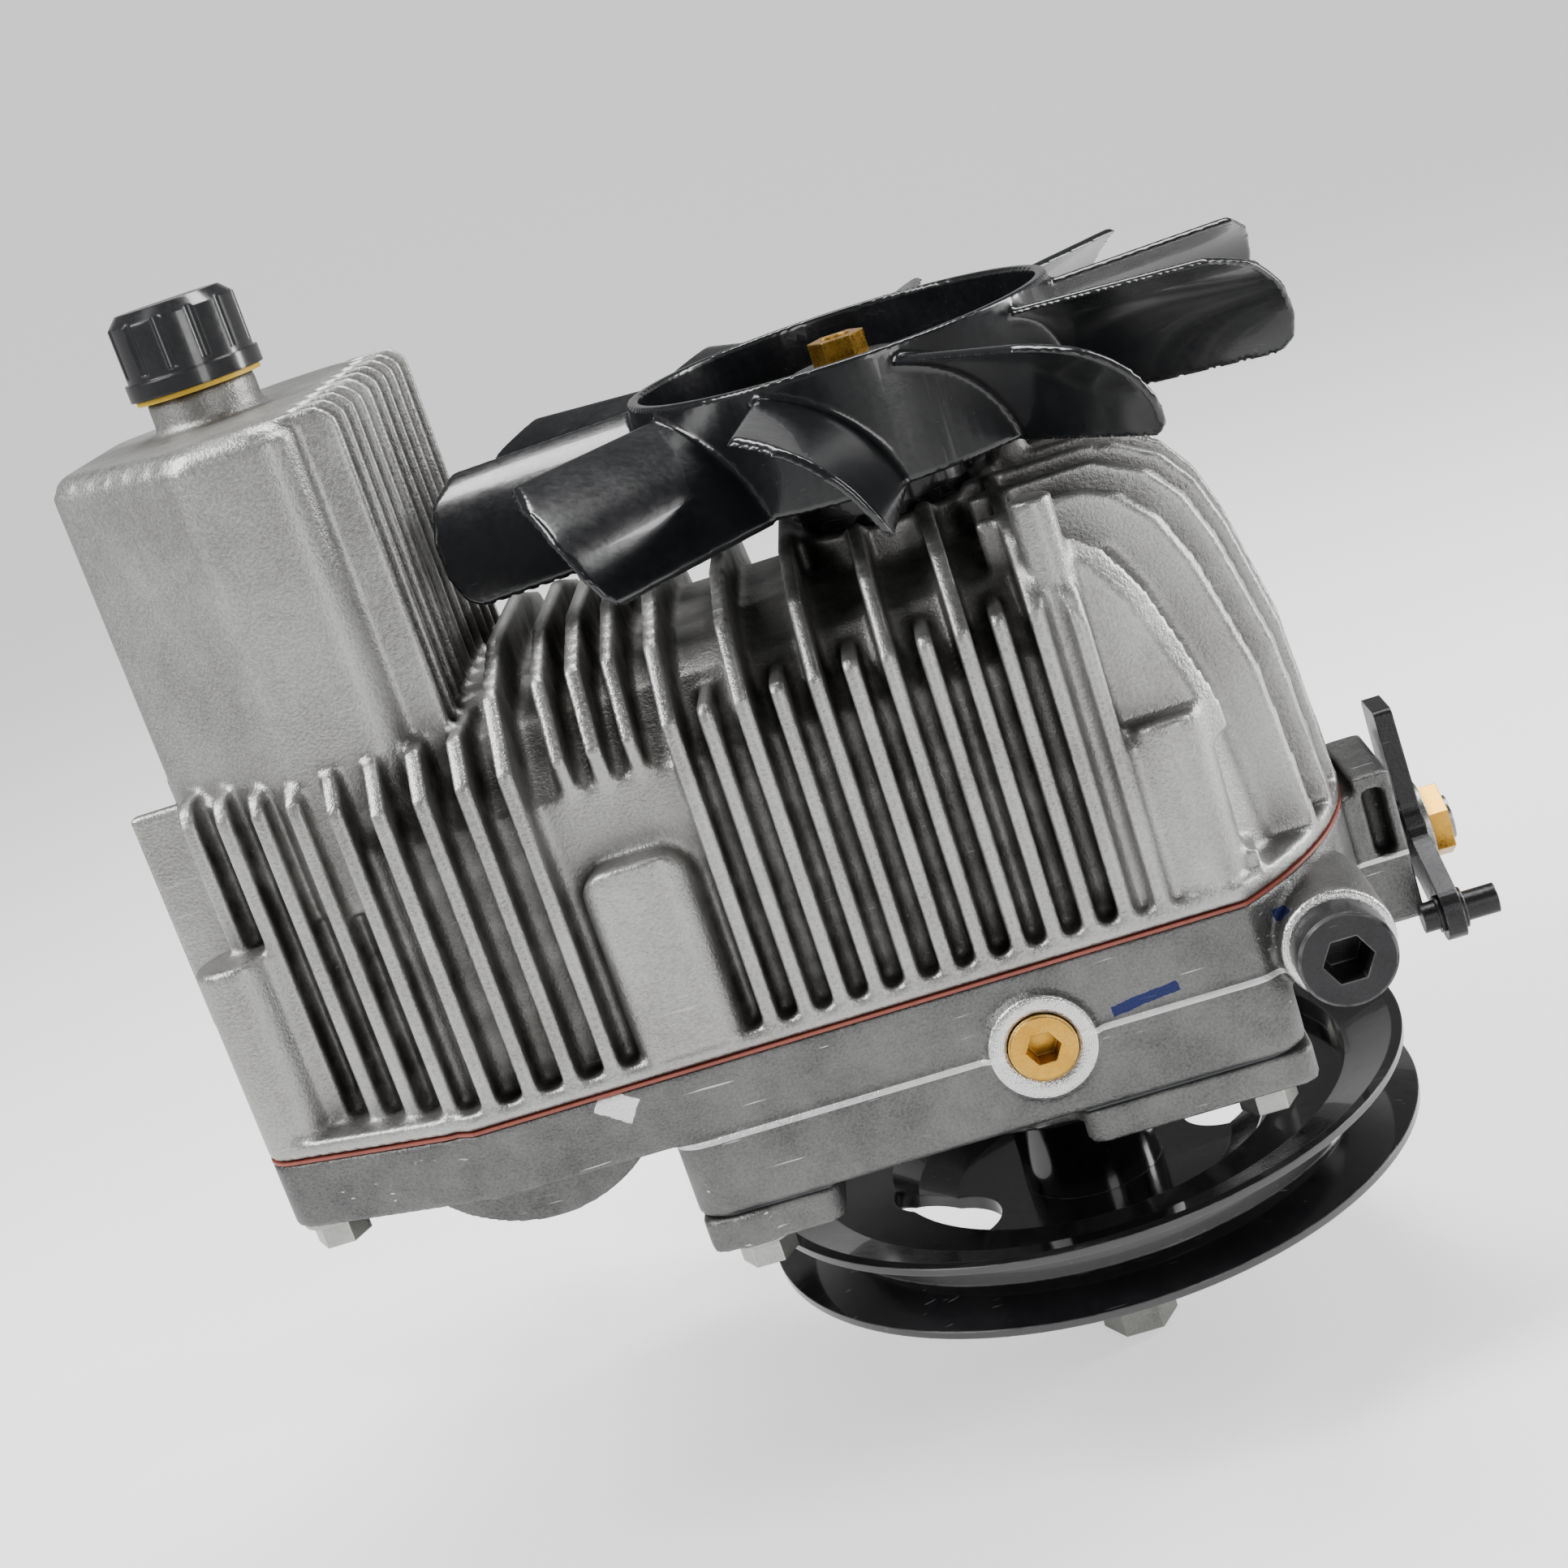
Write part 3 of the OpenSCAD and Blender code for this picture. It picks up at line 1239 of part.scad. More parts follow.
upper_housing();
lower_housing();
housing_sealant();
housing_bolts();
bottom_cover();
cover_gasket();
cover_bolts();
reservoir_cap();
cap_seal();
test_plug();
port_plug();
port_o_ring();
center_section();
center_bolts();
input_shaft();
input_bearings();
input_seals();
fan();
fan_spacer();
fan_nut();
pulley();
pulley_washer();
pulley_bolt();
pulley_key();
pump_block();
pump_piston(1);  // pump_piston_1
pump_piston(2);  // pump_piston_2
pump_piston(3);  // pump_piston_3
pump_piston(4);  // pump_piston_4
pump_piston(5);  // pump_piston_5
swashplate();
thrust_race();
trunnion_bush();
trunnion_seal();
control_arm();
control_washer();
control_nut();
control_pin();
charge_pump_body();
charge_inner_rotor();
charge_outer_rotor();
oil_filter();
motor_block();
motor_pistons();
motor_swash();
motor_shaft();
motor_bearing();
intermediate_gear();
intermediate_shaft();
shaft_bushes();
bull_gear();
axle_shaft();
axle_bearings();
shaft_seals();
wheel_hub();
wheel_studs();
hub_nut();
brake_drum();
brake_pivot();
brake_lever();
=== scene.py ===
# A finned hydrostatic transaxle on a pale studio floor.
# Lengths are in metres, in the part's own frame.
import json
from math import radians

import bmesh
import bpy
from mathutils import Matrix, Vector


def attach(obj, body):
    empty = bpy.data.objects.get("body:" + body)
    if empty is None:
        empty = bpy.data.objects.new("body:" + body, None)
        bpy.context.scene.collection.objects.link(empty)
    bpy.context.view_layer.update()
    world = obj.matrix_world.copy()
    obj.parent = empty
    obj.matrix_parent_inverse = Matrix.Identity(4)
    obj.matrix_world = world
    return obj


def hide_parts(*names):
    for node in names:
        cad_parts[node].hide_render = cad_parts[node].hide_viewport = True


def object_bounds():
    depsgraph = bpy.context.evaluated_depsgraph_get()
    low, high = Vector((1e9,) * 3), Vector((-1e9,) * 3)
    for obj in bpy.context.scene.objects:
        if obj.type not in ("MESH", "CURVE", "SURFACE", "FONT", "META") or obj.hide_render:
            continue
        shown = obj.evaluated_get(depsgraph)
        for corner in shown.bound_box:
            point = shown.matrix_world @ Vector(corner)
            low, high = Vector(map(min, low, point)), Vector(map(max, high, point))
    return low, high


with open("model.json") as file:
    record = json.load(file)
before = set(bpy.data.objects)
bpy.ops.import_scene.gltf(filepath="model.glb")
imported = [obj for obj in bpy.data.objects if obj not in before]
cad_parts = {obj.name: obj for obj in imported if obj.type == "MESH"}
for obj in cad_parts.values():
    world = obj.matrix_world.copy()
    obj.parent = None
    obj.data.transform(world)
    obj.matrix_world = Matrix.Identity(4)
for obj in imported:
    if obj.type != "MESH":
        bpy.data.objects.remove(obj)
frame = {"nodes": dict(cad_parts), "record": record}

NODES = frame["nodes"]
CAD_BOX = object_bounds()
SPLIT = 0.078                      # height of the joint between the two castings
FRONT = -0.0753                    # front face of the castings
FLOOR_GAP = 0.002                  # the floor's distance under the lowest piece
FLOOR_GLOW = 0.20                  # the floor's own light on the object
BACKDROP_GLOW = 0.62               # and how much brighter the camera sees it
GRAIN_DEPTH = 0.0004               # depth of the casting grain in the bump
MERGE_WITHIN = 0.000002            # corners closer than this are one corner
BODY_OF = {n: b for b, names in frame["record"]["behaviour"]["bodies"].items() for n in names}


# ---- Camera, floor and light -------------------------------------------------------------

def set_camera():
    forward = Vector((-0.088, 0.958, -0.2729)).normalized()
    right = Vector((0.9518, 0.0001, -0.3066)).normalized()
    up = right.cross(forward)
    cam = bpy.data.objects.new("camera", bpy.data.cameras.new("camera"))
    bpy.context.scene.collection.objects.link(cam)
    cam.matrix_world = Matrix(((right.x, up.x, -forward.x, 0.0106),
                               (right.y, up.y, -forward.y, -0.6527),
                               (right.z, up.z, -forward.z, 0.3062),
                               (0, 0, 0, 1)))
    cam.data.sensor_width = 36
    cam.data.lens = 57.56
    bpy.context.scene.camera = cam


def softbox(name, place, aim, size, power):
    lamp = bpy.data.lights.new(name, "AREA")
    lamp.shape = "RECTANGLE"
    lamp.size, lamp.size_y = size
    lamp.energy = power
    obj = bpy.data.objects.new(name, lamp)
    bpy.context.scene.collection.objects.link(obj)
    way = Vector(aim) - Vector(place)
    obj.matrix_world = Matrix.Translation(place) @ way.to_track_quat("-Z", "Y").to_matrix().to_4x4()


def set_studio():
    middle = (-0.05, 0, 0.1)
    softbox("key_softbox", (-0.80, -0.35, 0.95), middle, (0.35, 0.9), 17)
    softbox("top_softbox", (0.15, 0.35, 1.2), middle, (0.9, 0.30), 15)
    softbox("rim_softbox", (1.0, 0.20, 0.45), middle, (0.2, 0.9), 12)
    softbox("front_softbox", (0.45, -1.1, 0.40), middle, (0.3, 0.6), 3.5)
    world = bpy.data.worlds.new("studio")
    bpy.context.scene.world = world
    world.use_nodes = True
    air = world.node_tree
    backdrop = air.nodes["Background"]
    backdrop.inputs["Color"].default_value = (1, 1, 1, 1)
    seen = air.nodes.new("ShaderNodeLightPath").outputs["Is Camera Ray"]
    strength = math(air, "ADD", math(air, "MULTIPLY", seen, 1.0), 0.16)
    air.links.new(strength, backdrop.inputs["Strength"])
    bpy.ops.object.select_all(action="DESELECT")
    bpy.ops.mesh.primitive_circle_add(vertices=96, radius=2.4, fill_type="NGON",
                                      location=(0, 0, CAD_BOX[0][2] - FLOOR_GAP))
    floor = bpy.context.active_object
    floor.name = "studio_floor"
    bpy.ops.object.mode_set(mode="EDIT")
    bpy.ops.mesh.select_mode(type="EDGE")
    for step in range(9):
        rise = 0.02 + 0.055 * step
        bpy.ops.mesh.extrude_edges_move(TRANSFORM_OT_translate={"value": (0, 0, rise)})
        bpy.ops.transform.resize(value=(1.10, 1.10, 1))
    bpy.ops.object.mode_set(mode="OBJECT")
    bpy.ops.object.shade_smooth()
    mat = bpy.data.materials.new("pale_floor")
    mat.use_nodes = True
    shader = mat.node_tree.nodes["Principled BSDF"]
    shader.inputs["Base Color"].default_value = (0.93, 0.93, 0.93, 1)
    shader.inputs["Roughness"].default_value = 0.9
    shader.inputs["Emission Color"].default_value = (1, 1, 1, 1)
    seen = mat.node_tree.nodes.new("ShaderNodeLightPath").outputs["Is Camera Ray"]
    extra_glow = math(mat.node_tree, "MULTIPLY", seen, BACKDROP_GLOW)
    glow = math(mat.node_tree, "ADD", extra_glow, FLOOR_GLOW)
    mat.node_tree.links.new(glow, shader.inputs["Emission Strength"])
    floor.data.materials.append(mat)


# ---- Surface effects, each a node group --------------------------------------------------

def new_group(name, inputs, outputs):
    tree = bpy.data.node_groups.new(name, "ShaderNodeTree")
    for socket, kind, value in inputs:
        item = tree.interface.new_socket(name=socket, in_out="INPUT",
                                         socket_type="NodeSocket" + kind)
        if value is not None:
            item.default_value = value
    for socket in outputs:
        tree.interface.new_socket(name=socket, in_out="OUTPUT", socket_type="NodeSocketFloat")
    return tree, tree.nodes.new("NodeGroupInput"), tree.nodes.new("NodeGroupOutput")


def math(tree, operation, a, b=None, clamp=False):
    node = tree.nodes.new("ShaderNodeMath")
    node.operation = operation
    node.use_clamp = clamp
    for socket, value in zip(node.inputs, (a, b)):
        if value is None:
            continue
        if isinstance(value, (int, float)):
            socket.default_value = value
        else:
            tree.links.new(value, socket)
    return node.outputs[0]


def spread(tree, value, low, high):
    """The value stretched so that low becomes 0 and high becomes 1."""
    node = tree.nodes.new("ShaderNodeMapRange")
    tree.links.new(value, node.inputs["Value"])
    node.inputs["From Min"].default_value = low
    node.inputs["From Max"].default_value = high
    return node.outputs["Result"]


def noise(tree, vector, scale, detail=3.0, rough=0.55):
    node = tree.nodes.new("ShaderNodeTexNoise")
    tree.links.new(vector, node.inputs["Vector"])
    if isinstance(scale, (int, float)):
        node.inputs["Scale"].default_value = scale
    else:
        tree.links.new(scale, node.inputs["Scale"])
    node.inputs["Detail"].default_value = detail
    node.inputs["Roughness"].default_value = rough
    return node.outputs["Fac"]


def make_grit():
    """Fine sand-cast or moulded grain over broad soft blotches."""
    tree, given, out = new_group("grit", [("Vector", "Vector", None), ("Grain", "Float", 900.0),
                                          ("Blotch", "Float", 40.0)], ["Fine", "Broad", "Height"])
    fine = noise(tree, given.outputs["Vector"], given.outputs["Grain"], 2.0, 0.7)
    broad = noise(tree, given.outputs["Vector"], given.outputs["Blotch"], 5.0, 0.6)
    tree.links.new(spread(tree, fine, 0.3, 0.7), out.inputs["Fine"])
    tree.links.new(spread(tree, broad, 0.32, 0.68), out.inputs["Broad"])
    half = math(tree, "MULTIPLY", broad, 0.6)
    tree.links.new(math(tree, "ADD", fine, half), out.inputs["Height"])
    return tree


def make_worn_highlight_edges():
    """1 along outer edges, rubbed bright and with a painted highlight, broken up by noise."""
    tree, given, out = new_group(
        "worn_highlight_edges",
        [("Vector", "Vector", None), ("Width", "Float", 0.001), ("Amount", "Float", 1.0)], ["Mask"])
    # The bevel normal against the flat normal finds the edges; the bright colour laid there is
    # partly wear and partly painted highlight.
    bevel = tree.nodes.new("ShaderNodeBevel")
    bevel.samples = 4
    tree.links.new(given.outputs["Width"], bevel.inputs["Radius"])
    flat = tree.nodes.new("ShaderNodeNewGeometry")
    dot = tree.nodes.new("ShaderNodeVectorMath")
    dot.operation = "DOT_PRODUCT"
    tree.links.new(bevel.outputs["Normal"], dot.inputs[0])
    tree.links.new(flat.outputs["Normal"], dot.inputs[1])
    edge_wear_and_highlight = spread(tree, math(tree, "SUBTRACT", 1.0, dot.outputs["Value"]), 0.01, 0.16)
    broken = spread(tree, noise(tree, given.outputs["Vector"], 260.0, 4.0), 0.3, 0.62)
    worn_highlight = math(tree, "MULTIPLY", edge_wear_and_highlight, broken)
    tree.links.new(math(tree, "MULTIPLY", worn_highlight, given.outputs["Amount"], True), out.inputs["Mask"])
    return tree


def make_dirt_and_painted_shade():
    """1 in slots and corners: dirt where oil and dust stay, and painted shade where light is
    occluded.
    """
    tree, given, out = new_group(
        "dirt_and_painted_shade",
        [("Vector", "Vector", None), ("Reach", "Float", 0.012), ("Amount", "Float", 1.0)], ["Mask"])
    # Ambient occlusion finds the slots and corners, so this mask is painted shade as well as dirt.
    nook = tree.nodes.new("ShaderNodeAmbientOcclusion")
    nook.samples = 6
    tree.links.new(given.outputs["Reach"], nook.inputs["Distance"])
    occluded = math(tree, "SUBTRACT", 1.0, nook.outputs["AO"])
    patch = spread(tree, noise(tree, given.outputs["Vector"], 90.0, 5.0), 0.25, 0.75)
    mixed = math(tree, "MULTIPLY", spread(tree, occluded, 0.2, 0.9),
                 math(tree, "ADD", patch, 0.45))
    tree.links.new(math(tree, "MULTIPLY", mixed, given.outputs["Amount"], True), out.inputs["Mask"])
    return tree


def make_scratches():
    """Thin stray scratches: 1 on the line."""
    tree, given, out = new_group(
        "scratches",
        [("Vector", "Vector", None), ("Scale", "Float", 900.0), ("Amount", "Float", 1.0)], ["Mask"])
    lines = []
    for turn, run in (((20, 35, 10), 1.0), ((-15, -50, 70), 0.8)):
        lay = tree.nodes.new("ShaderNodeMapping")
        lay.inputs["Rotation"].default_value = [radians(a) for a in turn]
        lay.inputs["Scale"].default_value = (0.06 * run, 1.0, 1.0)
        tree.links.new(given.outputs["Vector"], lay.inputs["Vector"])
        streak = noise(tree, lay.outputs["Vector"], given.outputs["Scale"], 1.0)
        lines.append(spread(tree, streak, 0.735, 0.765))
    gaps = spread(tree, noise(tree, given.outputs["Vector"], 55.0, 2.0), 0.48, 0.56)
    both = math(tree, "MAXIMUM", lines[0], lines[1])
    tree.links.new(math(tree, "MULTIPLY", math(tree, "MULTIPLY", both, gaps),
                        given.outputs["Amount"], True), out.inputs["Mask"])
    return tree


def make_mark():
    """A hand-drawn stroke along X, centred on the origin of its Vector."""
    tree, given, out = new_group(
        "mark",
        [("Vector", "Vector", None), ("Half Length", "Float", 0.01),
         ("Half Width", "Float", 0.002), ("Half Depth", "Float", 0.01)], ["Mask"])
    parts = tree.nodes.new("ShaderNodeSeparateXYZ")
    tree.links.new(given.outputs["Vector"], parts.inputs[0])
    wave = math(tree, "SUBTRACT", noise(tree, given.outputs["Vector"], 350.0), 0.5)
    ragged = math(tree, "MULTIPLY", wave, 0.0012)
    inside = []
    for axis, socket in (("X", "Half Length"), ("Z", "Half Width"), ("Y", "Half Depth")):
        away = math(tree, "ADD", math(tree, "ABSOLUTE", parts.outputs[axis]), ragged)
        inside.append(math(tree, "LESS_THAN", away, given.outputs[socket]))
    tree.links.new(math(tree, "MULTIPLY", math(tree, "MULTIPLY", inside[0], inside[1]), inside[2]),
                   out.inputs["Mask"])
    return tree


def make_turned_face():
    """Mask is 1 inside a circle about Y, in front of the origin. Rings are fine turning marks."""
    tree, given, out = new_group(
        "turned_face", [("Vector", "Vector", None), ("Radius", "Float", 0.01)], ["Mask", "Rings"])
    parts = tree.nodes.new("ShaderNodeSeparateXYZ")
    tree.links.new(given.outputs["Vector"], parts.inputs[0])
    square = math(tree, "ADD", math(tree, "MULTIPLY", parts.outputs["X"], parts.outputs["X"]),
                  math(tree, "MULTIPLY", parts.outputs["Z"], parts.outputs["Z"]))
    away = math(tree, "SQRT", square)
    inside = math(tree, "LESS_THAN", away, given.outputs["Radius"])
    tree.links.new(math(tree, "MULTIPLY", inside, math(tree, "LESS_THAN", parts.outputs["Y"], 0.0)),
                   out.inputs["Mask"])
    tree.links.new(math(tree, "SINE", math(tree, "MULTIPLY", away, 11000.0)), out.inputs["Rings"])
    return tree


EFFECTS = {
    "grit": make_grit(), "worn_highlight_edges": make_worn_highlight_edges(), "dirt_and_painted_shade": make_dirt_and_painted_shade(),
    "scratches": make_scratches(), "mark": make_mark(), "turned_face": make_turned_face()}


# ---- Materials ---------------------------------------------------------------------------

def place_effect(tree, name, vector, **values):
    node = tree.nodes.new("ShaderNodeGroup")
    node.node_tree = EFFECTS[name]
    tree.links.new(vector, node.inputs["Vector"])
    for socket, value in values.items():
        node.inputs[socket.replace("_", " ")].default_value = value
    return node.outputs


def tint(tree, mask, under, over, amount=1.0):
    """under where the mask is 0 and over where it is 1."""
    node = tree.nodes.new("ShaderNodeMix")
    node.data_type = "RGBA"
    node.clamp_factor = True
    if amount != 1.0:
        mask = math(tree, "MULTIPLY", mask, amount)
    tree.links.new(mask, node.inputs["Factor"])
    for socket, value in ((node.inputs["A"], under), (node.inputs["B"], over)):
        if isinstance(value, tuple):
            socket.default_value = (*value, 1)
        else:
            tree.links.new(value, socket)
    return node.outputs["Result"]


def finish_for(name, dark, light, rough, metal, grain=900.0, blotch=40.0, bump=0.1, soften=0.0004,
               edge_wear_and_highlight=None, edge_wear_and_highlight_width=0.0008, edge_wear_and_highlight_amount=0.8, dirt_and_shade_colour=None, dirt_and_shade_reach=0.01,
               dirt_and_shade_amount=0.8, scratch=None, scratch_amount=0.6, coat=0.0, extra=None):
    """Grained colour between dark and light, then dirt with painted shade, worn edges with painted
    highlights, and scratches over it.
    """
    mat = bpy.data.materials.new(name)
    mat.use_nodes = True
    tree = mat.node_tree
    shader = tree.nodes["Principled BSDF"]
    vector = tree.nodes.new("ShaderNodeTexCoord").outputs["Object"]
    grit = place_effect(tree, "grit", vector, Grain=grain, Blotch=blotch)
    mottle = math(tree, "ADD", math(tree, "MULTIPLY", grit["Fine"], 0.45),
                  math(tree, "MULTIPLY", grit["Broad"], 0.55), True)
    colour = tint(tree, mottle, dark, light)
    low, high = rough
    roughness = math(tree, "ADD", math(tree, "MULTIPLY", mottle, high - low), low)
    # Dirt colour laid by ambient occlusion: real dirt, and painted shade in slots and corners.
    if dirt_and_shade_colour:
        grime_and_shade = place_effect(tree, "dirt_and_painted_shade", vector, Reach=dirt_and_shade_reach,
                             Amount=dirt_and_shade_amount)["Mask"]
        colour = tint(tree, grime_and_shade, colour, dirt_and_shade_colour)
        roughness = math(tree, "ADD", roughness, math(tree, "MULTIPLY", grime_and_shade, 0.25), True)
    # Bright edges: partly rubbed wear, partly painted highlight.
    if edge_wear_and_highlight:
        worn_highlight = place_effect(tree, "worn_highlight_edges", vector, Width=edge_wear_and_highlight_width,
                            Amount=edge_wear_and_highlight_amount)["Mask"]
        colour = tint(tree, worn_highlight, colour, edge_wear_and_highlight)
    if scratch:
        line = place_effect(tree, "scratches", vector, Scale=900.0, Amount=scratch_amount)["Mask"]
        colour = tint(tree, line, colour, scratch)
    if extra:
        colour, roughness = extra(tree, vector, colour, roughness)
    tree.links.new(colour, shader.inputs["Base Color"])
    tree.links.new(roughness, shader.inputs["Roughness"])
    shader.inputs["Metallic"].default_value = metal
    shader.inputs["Coat Weight"].default_value = coat
    relief = tree.nodes.new("ShaderNodeBump")
    relief.inputs["Strength"].default_value = bump
    relief.inputs["Distance"].default_value = GRAIN_DEPTH
    tree.links.new(grit["Height"], relief.inputs["Height"])
    if soften:
        corner = tree.nodes.new("ShaderNodeBevel")
        corner.samples = 4
        corner.inputs["Radius"].default_value = soften
        tree.links.new(corner.outputs["Normal"], relief.inputs["Normal"])
    tree.links.new(relief.outputs["Normal"], shader.inputs["Normal"])
    return mat


def mapped(tree, vector, place, turn=(0, 0, 0)):
    node = tree.nodes.new("ShaderNodeMapping")
    node.vector_type = "TEXTURE"
    tree.links.new(vector, node.inputs["Vector"])
    node.inputs["Location"].default_value = place
    node.inputs["Rotation"].default_value = [radians(a) for a in turn]
    return node.outputs["Vector"]


def level_mask(tree, vector, low, high):
    """1 between two heights."""
    parts = tree.nodes.new("ShaderNodeSeparateXYZ")
    tree.links.new(vector, parts.inputs[0])
    return math(tree, "MULTIPLY", math(tree, "GREATER_THAN", parts.outputs["Z"], low),
                math(tree, "LESS_THAN", parts.outputs["Z"], high))


def lower_casting_marks(tree, vector, colour, roughness):
    """Turned faces round the two ports, a painted highlight along the sump's ledge, two strokes of
    an inspection marker and a dab of sealant."""
    for centre, radius in (((-0.0020, -0.0770, SPLIT - 0.0200), 0.0136),
                           ((0.0744, -0.0768, SPLIT - 0.0164), 0.0142)):
        face = place_effect(tree, "turned_face", mapped(tree, vector, centre), Radius=radius)
        ridge = math(tree, "ADD", math(tree, "MULTIPLY", face["Rings"], 0.5), 0.5)
        bright = tint(tree, ridge, (0.55, 0.55, 0.54), (0.80, 0.80, 0.79))
        colour = tint(tree, face["Mask"], colour, bright)
        shine = math(tree, "MULTIPLY", face["Mask"], 0.25)
        roughness = math(tree, "SUBTRACT", roughness, shine, True)
    # Painted highlight: a near-white band on the ledge's upper corner, as if it caught the top
    # light.
    ledge_highlight = level_mask(tree, vector, SPLIT - 0.0206, SPLIT - 0.0192)
    colour = tint(tree, ledge_highlight, colour, (0.80, 0.80, 0.79), 0.85)
    ink = (0.010, 0.016, 0.10)
    for place, turn, half in (((0.0255, FRONT, SPLIT - 0.0161), (0, -6.5, 0), 0.0088),
                              ((0.0655, -0.0650, SPLIT - 0.0072), (0, 4, 45), 0.0070)):
        stroke = place_effect(tree, "mark", mapped(tree, vector, place, turn),
                              Half_Length=half, Half_Width=0.0014)["Mask"]
        colour = tint(tree, stroke, colour, ink, 0.9)
    corner = mapped(tree, vector, (-0.1080, FRONT, SPLIT - 0.0035), (0, 35, 0))
    dab = place_effect(tree, "mark", corner, Half_Length=0.0050, Half_Width=0.0034)["Mask"]
    return tint(tree, dab, colour, (0.78, 0.79, 0.78)), roughness


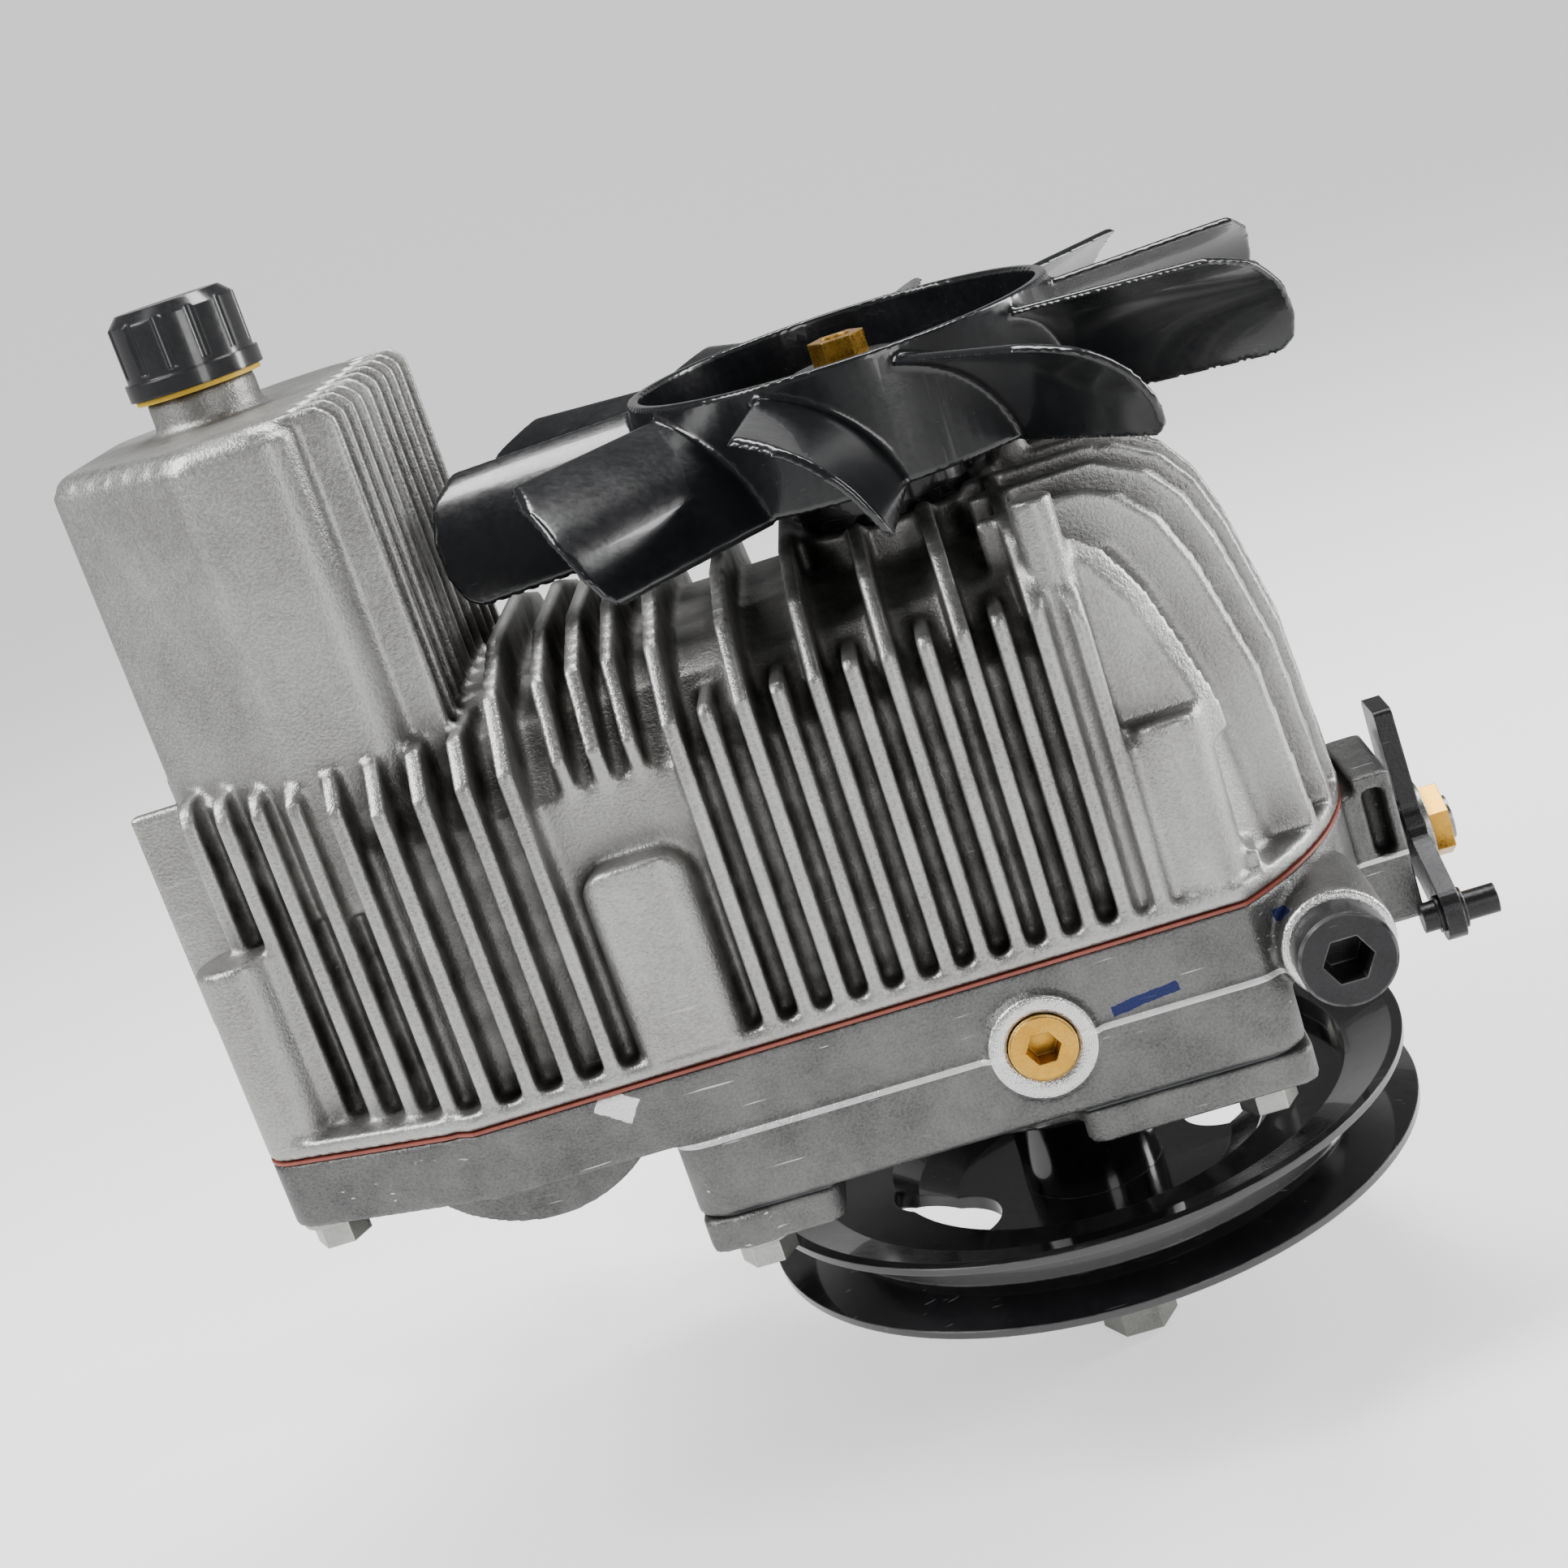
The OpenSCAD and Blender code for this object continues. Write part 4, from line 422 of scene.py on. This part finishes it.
BLACK = (0.005, 0.0055, 0.007)
FINISHES = {
    # The dark dirt colour in the slots is partly painted shade; the near-white edge colour is
    # partly painted highlight.
    "cast_bright": finish_for(
        "shot_blasted_aluminium", (0.24, 0.235, 0.225), (0.50, 0.50, 0.49), (0.28, 0.50), 0.88,
        grain=1100, blotch=28, bump=0.55, soften=0.0, edge_wear_and_highlight=(0.86, 0.86, 0.85), edge_wear_and_highlight_width=0.0022,
        edge_wear_and_highlight_amount=0.85, dirt_and_shade_colour=(0.030, 0.025, 0.019), dirt_and_shade_reach=0.020, dirt_and_shade_amount=1.0,
        scratch=(0.82, 0.82, 0.81), scratch_amount=0.18),
    "cast_dark": finish_for(
        "raw_cast_aluminium", (0.07, 0.07, 0.07), (0.22, 0.22, 0.215), (0.34, 0.54), 0.86,
        grain=1300, blotch=60, bump=0.75, soften=0.0, edge_wear_and_highlight=(0.66, 0.66, 0.65), edge_wear_and_highlight_width=0.0016,
        edge_wear_and_highlight_amount=0.7, dirt_and_shade_colour=(0.035, 0.032, 0.028), dirt_and_shade_reach=0.012, dirt_and_shade_amount=0.7,
        scratch=(0.72, 0.72, 0.71), scratch_amount=0.8, extra=lower_casting_marks),
    "sealant": finish_for(
        "silicone_sealant", (0.19, 0.040, 0.026), (0.30, 0.075, 0.05), (0.35, 0.5), 0.0, grain=600,
        bump=0.2, soften=0.0),
    "zinc": finish_for(
        "zinc_plate", (0.25, 0.25, 0.235), (0.44, 0.44, 0.415), (0.24, 0.42), 0.95, grain=1500,
        blotch=120, bump=0.08, soften=0.0005, edge_wear_and_highlight=(0.70, 0.70, 0.68), dirt_and_shade_colour=(0.08, 0.07, 0.055),
        dirt_and_shade_reach=0.004, dirt_and_shade_amount=0.7, scratch=(0.9, 0.9, 0.9), scratch_amount=0.3),
    "gasket": finish_for(
        "pressed_gasket", (0.05, 0.055, 0.06), (0.09, 0.095, 0.10), (0.6, 0.8), 0.0),
    "cap_plastic": finish_for(
        "gloss_nylon", BLACK, (0.016, 0.016, 0.018), (0.16, 0.30), 0.0, grain=700, blotch=90,
        bump=0.05, soften=0.0008, edge_wear_and_highlight=(0.05, 0.05, 0.055), edge_wear_and_highlight_width=0.0010, edge_wear_and_highlight_amount=0.5,
        coat=0.35),
    "cap_seal": finish_for(
        "yellow_rubber", (0.68, 0.40, 0.015), (0.88, 0.58, 0.04), (0.4, 0.6), 0.0),
    "gold_zinc": finish_for(
        "yellow_chromate", (0.42, 0.20, 0.022), (0.68, 0.39, 0.065), (0.20, 0.36), 0.95, grain=1400,
        blotch=150, bump=0.08, soften=0.0005, edge_wear_and_highlight=(0.84, 0.58, 0.20), dirt_and_shade_colour=(0.12, 0.065, 0.02),
        dirt_and_shade_reach=0.004, dirt_and_shade_amount=0.8),
    "black_oxide": finish_for(
        "black_oxide", (0.010, 0.010, 0.011), (0.030, 0.030, 0.032), (0.24, 0.42), 0.5, grain=1300,
        blotch=90, bump=0.2, soften=0.0006, edge_wear_and_highlight=(0.45, 0.45, 0.46), edge_wear_and_highlight_width=0.0007,
        edge_wear_and_highlight_amount=0.55, scratch=(0.35, 0.35, 0.36), scratch_amount=0.35),
    "rubber": finish_for(
        "nitrile_rubber", (0.018, 0.018, 0.018), (0.035, 0.035, 0.034), (0.5, 0.7), 0.0),
    "ground_steel": finish_for(
        "ground_steel", (0.46, 0.47, 0.48), (0.62, 0.63, 0.64), (0.16, 0.30), 1.0, grain=1600,
        bump=0.05, edge_wear_and_highlight=(0.8, 0.8, 0.81), scratch=(0.8, 0.8, 0.8), scratch_amount=0.25),
    "bearing_steel": finish_for(
        "bearing_steel", (0.55, 0.56, 0.57), (0.68, 0.69, 0.70), (0.10, 0.22), 1.0, grain=1600,
        bump=0.03, edge_wear_and_highlight=(0.85, 0.85, 0.86)),
    "bronze": finish_for(
        "bearing_bronze", (0.36, 0.22, 0.09), (0.60, 0.41, 0.20), (0.22, 0.40), 1.0, grain=1400,
        bump=0.08, edge_wear_and_highlight=(0.80, 0.60, 0.34)),
    "forged_steel": finish_for(
        "oiled_steel", (0.16, 0.16, 0.17), (0.34, 0.34, 0.35), (0.22, 0.42), 0.95, grain=1300,
        bump=0.15, edge_wear_and_highlight=(0.62, 0.62, 0.63)),
    "fan_plastic": finish_for(
        "moulded_fan_nylon", (0.004, 0.0045, 0.0055), (0.009, 0.0095, 0.011), (0.15, 0.28), 0.0,
        grain=500, blotch=60,
        bump=0.06, soften=0.0, edge_wear_and_highlight=(0.035, 0.037, 0.042), edge_wear_and_highlight_width=0.0014, edge_wear_and_highlight_amount=0.5,
        dirt_and_shade_colour=(0.022, 0.020, 0.018), dirt_and_shade_reach=0.006, dirt_and_shade_amount=0.25,
        scratch=(0.06, 0.06, 0.065), scratch_amount=0.3, coat=0.25),
    "black_paint": finish_for(
        "gloss_black_enamel", (0.005, 0.005, 0.006), (0.012, 0.012, 0.013), (0.10, 0.22), 0.0,
        grain=300, blotch=50, bump=0.05, soften=0.0008, edge_wear_and_highlight=(0.30, 0.30, 0.31), edge_wear_and_highlight_width=0.0006,
        edge_wear_and_highlight_amount=0.35, scratch=(0.25, 0.25, 0.26), scratch_amount=0.25, coat=0.7),
    "filter_paper": finish_for(
        "filter_paper", (0.62, 0.55, 0.38), (0.80, 0.74, 0.58), (0.7, 0.9), 0.0, bump=0.3),
    "hub_iron": finish_for(
        "turned_iron", (0.10, 0.10, 0.105), (0.24, 0.24, 0.245), (0.32, 0.5), 0.9, grain=1100,
        bump=0.35, edge_wear_and_highlight=(0.5, 0.5, 0.5), dirt_and_shade_colour=(0.06, 0.045, 0.035), dirt_and_shade_reach=0.006,
        dirt_and_shade_amount=0.5),
}


def paint_nodes():
    for part in frame["record"]["subparts"]:
        obj = NODES[part["node"]]
        obj.data.materials.clear()
        obj.data.materials.append(FINISHES[part["material_slot"]])


# ---- Castings and mouldings with soft corners --------------------------------------------

def apply_modifier(obj, kind, **values):
    mod = obj.modifiers.new(kind.lower(), kind)
    for key, value in values.items():
        setattr(mod, key, value)
    bpy.ops.object.select_all(action="DESELECT")
    bpy.context.view_layer.objects.active = obj
    obj.select_set(True)
    bpy.ops.object.modifier_apply(modifier=mod.name)


def soften(node, name, slot, cell, rounds, limit):
    """A copy of a casting or moulding with rounded corners, kept under a limit of triangles."""
    mesh = NODES[node].data.copy()
    obj = bpy.data.objects.new(name, mesh)
    bpy.context.scene.collection.objects.link(obj)
    work = bmesh.new()
    work.from_mesh(mesh)
    bmesh.ops.remove_doubles(work, verts=work.verts, dist=MERGE_WITHIN)
    work.to_mesh(mesh)
    work.free()
    apply_modifier(obj, "REMESH", mode="VOXEL", voxel_size=cell, adaptivity=0.0,
                   use_smooth_shade=True)
    apply_modifier(obj, "SMOOTH", factor=0.5, iterations=rounds)
    faces = sum(len(p.vertices) - 2 for p in obj.data.polygons)
    if faces > limit:
        apply_modifier(obj, "DECIMATE", ratio=limit / faces)
    bpy.ops.object.select_all(action="DESELECT")
    obj.select_set(True)
    bpy.context.view_layer.objects.active = obj
    bpy.ops.object.shade_smooth()
    obj.data.materials.clear()
    obj.data.materials.append(FINISHES[slot])
    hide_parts(node)
    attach(obj, BODY_OF[node])
    return obj


def make_castings():
    soften("upper_housing", "upper_casting", "cast_bright", 0.0012, 3, 190000)
    soften("lower_housing", "lower_casting", "cast_dark", 0.0011, 2, 150000)
    soften("bottom_cover", "cover_casting", "cast_dark", 0.0010, 2, 60000)
    soften("fan", "fan_moulding", "fan_plastic", 0.0008, 2, 120000)


set_camera()
set_studio()
paint_nodes()
make_castings()
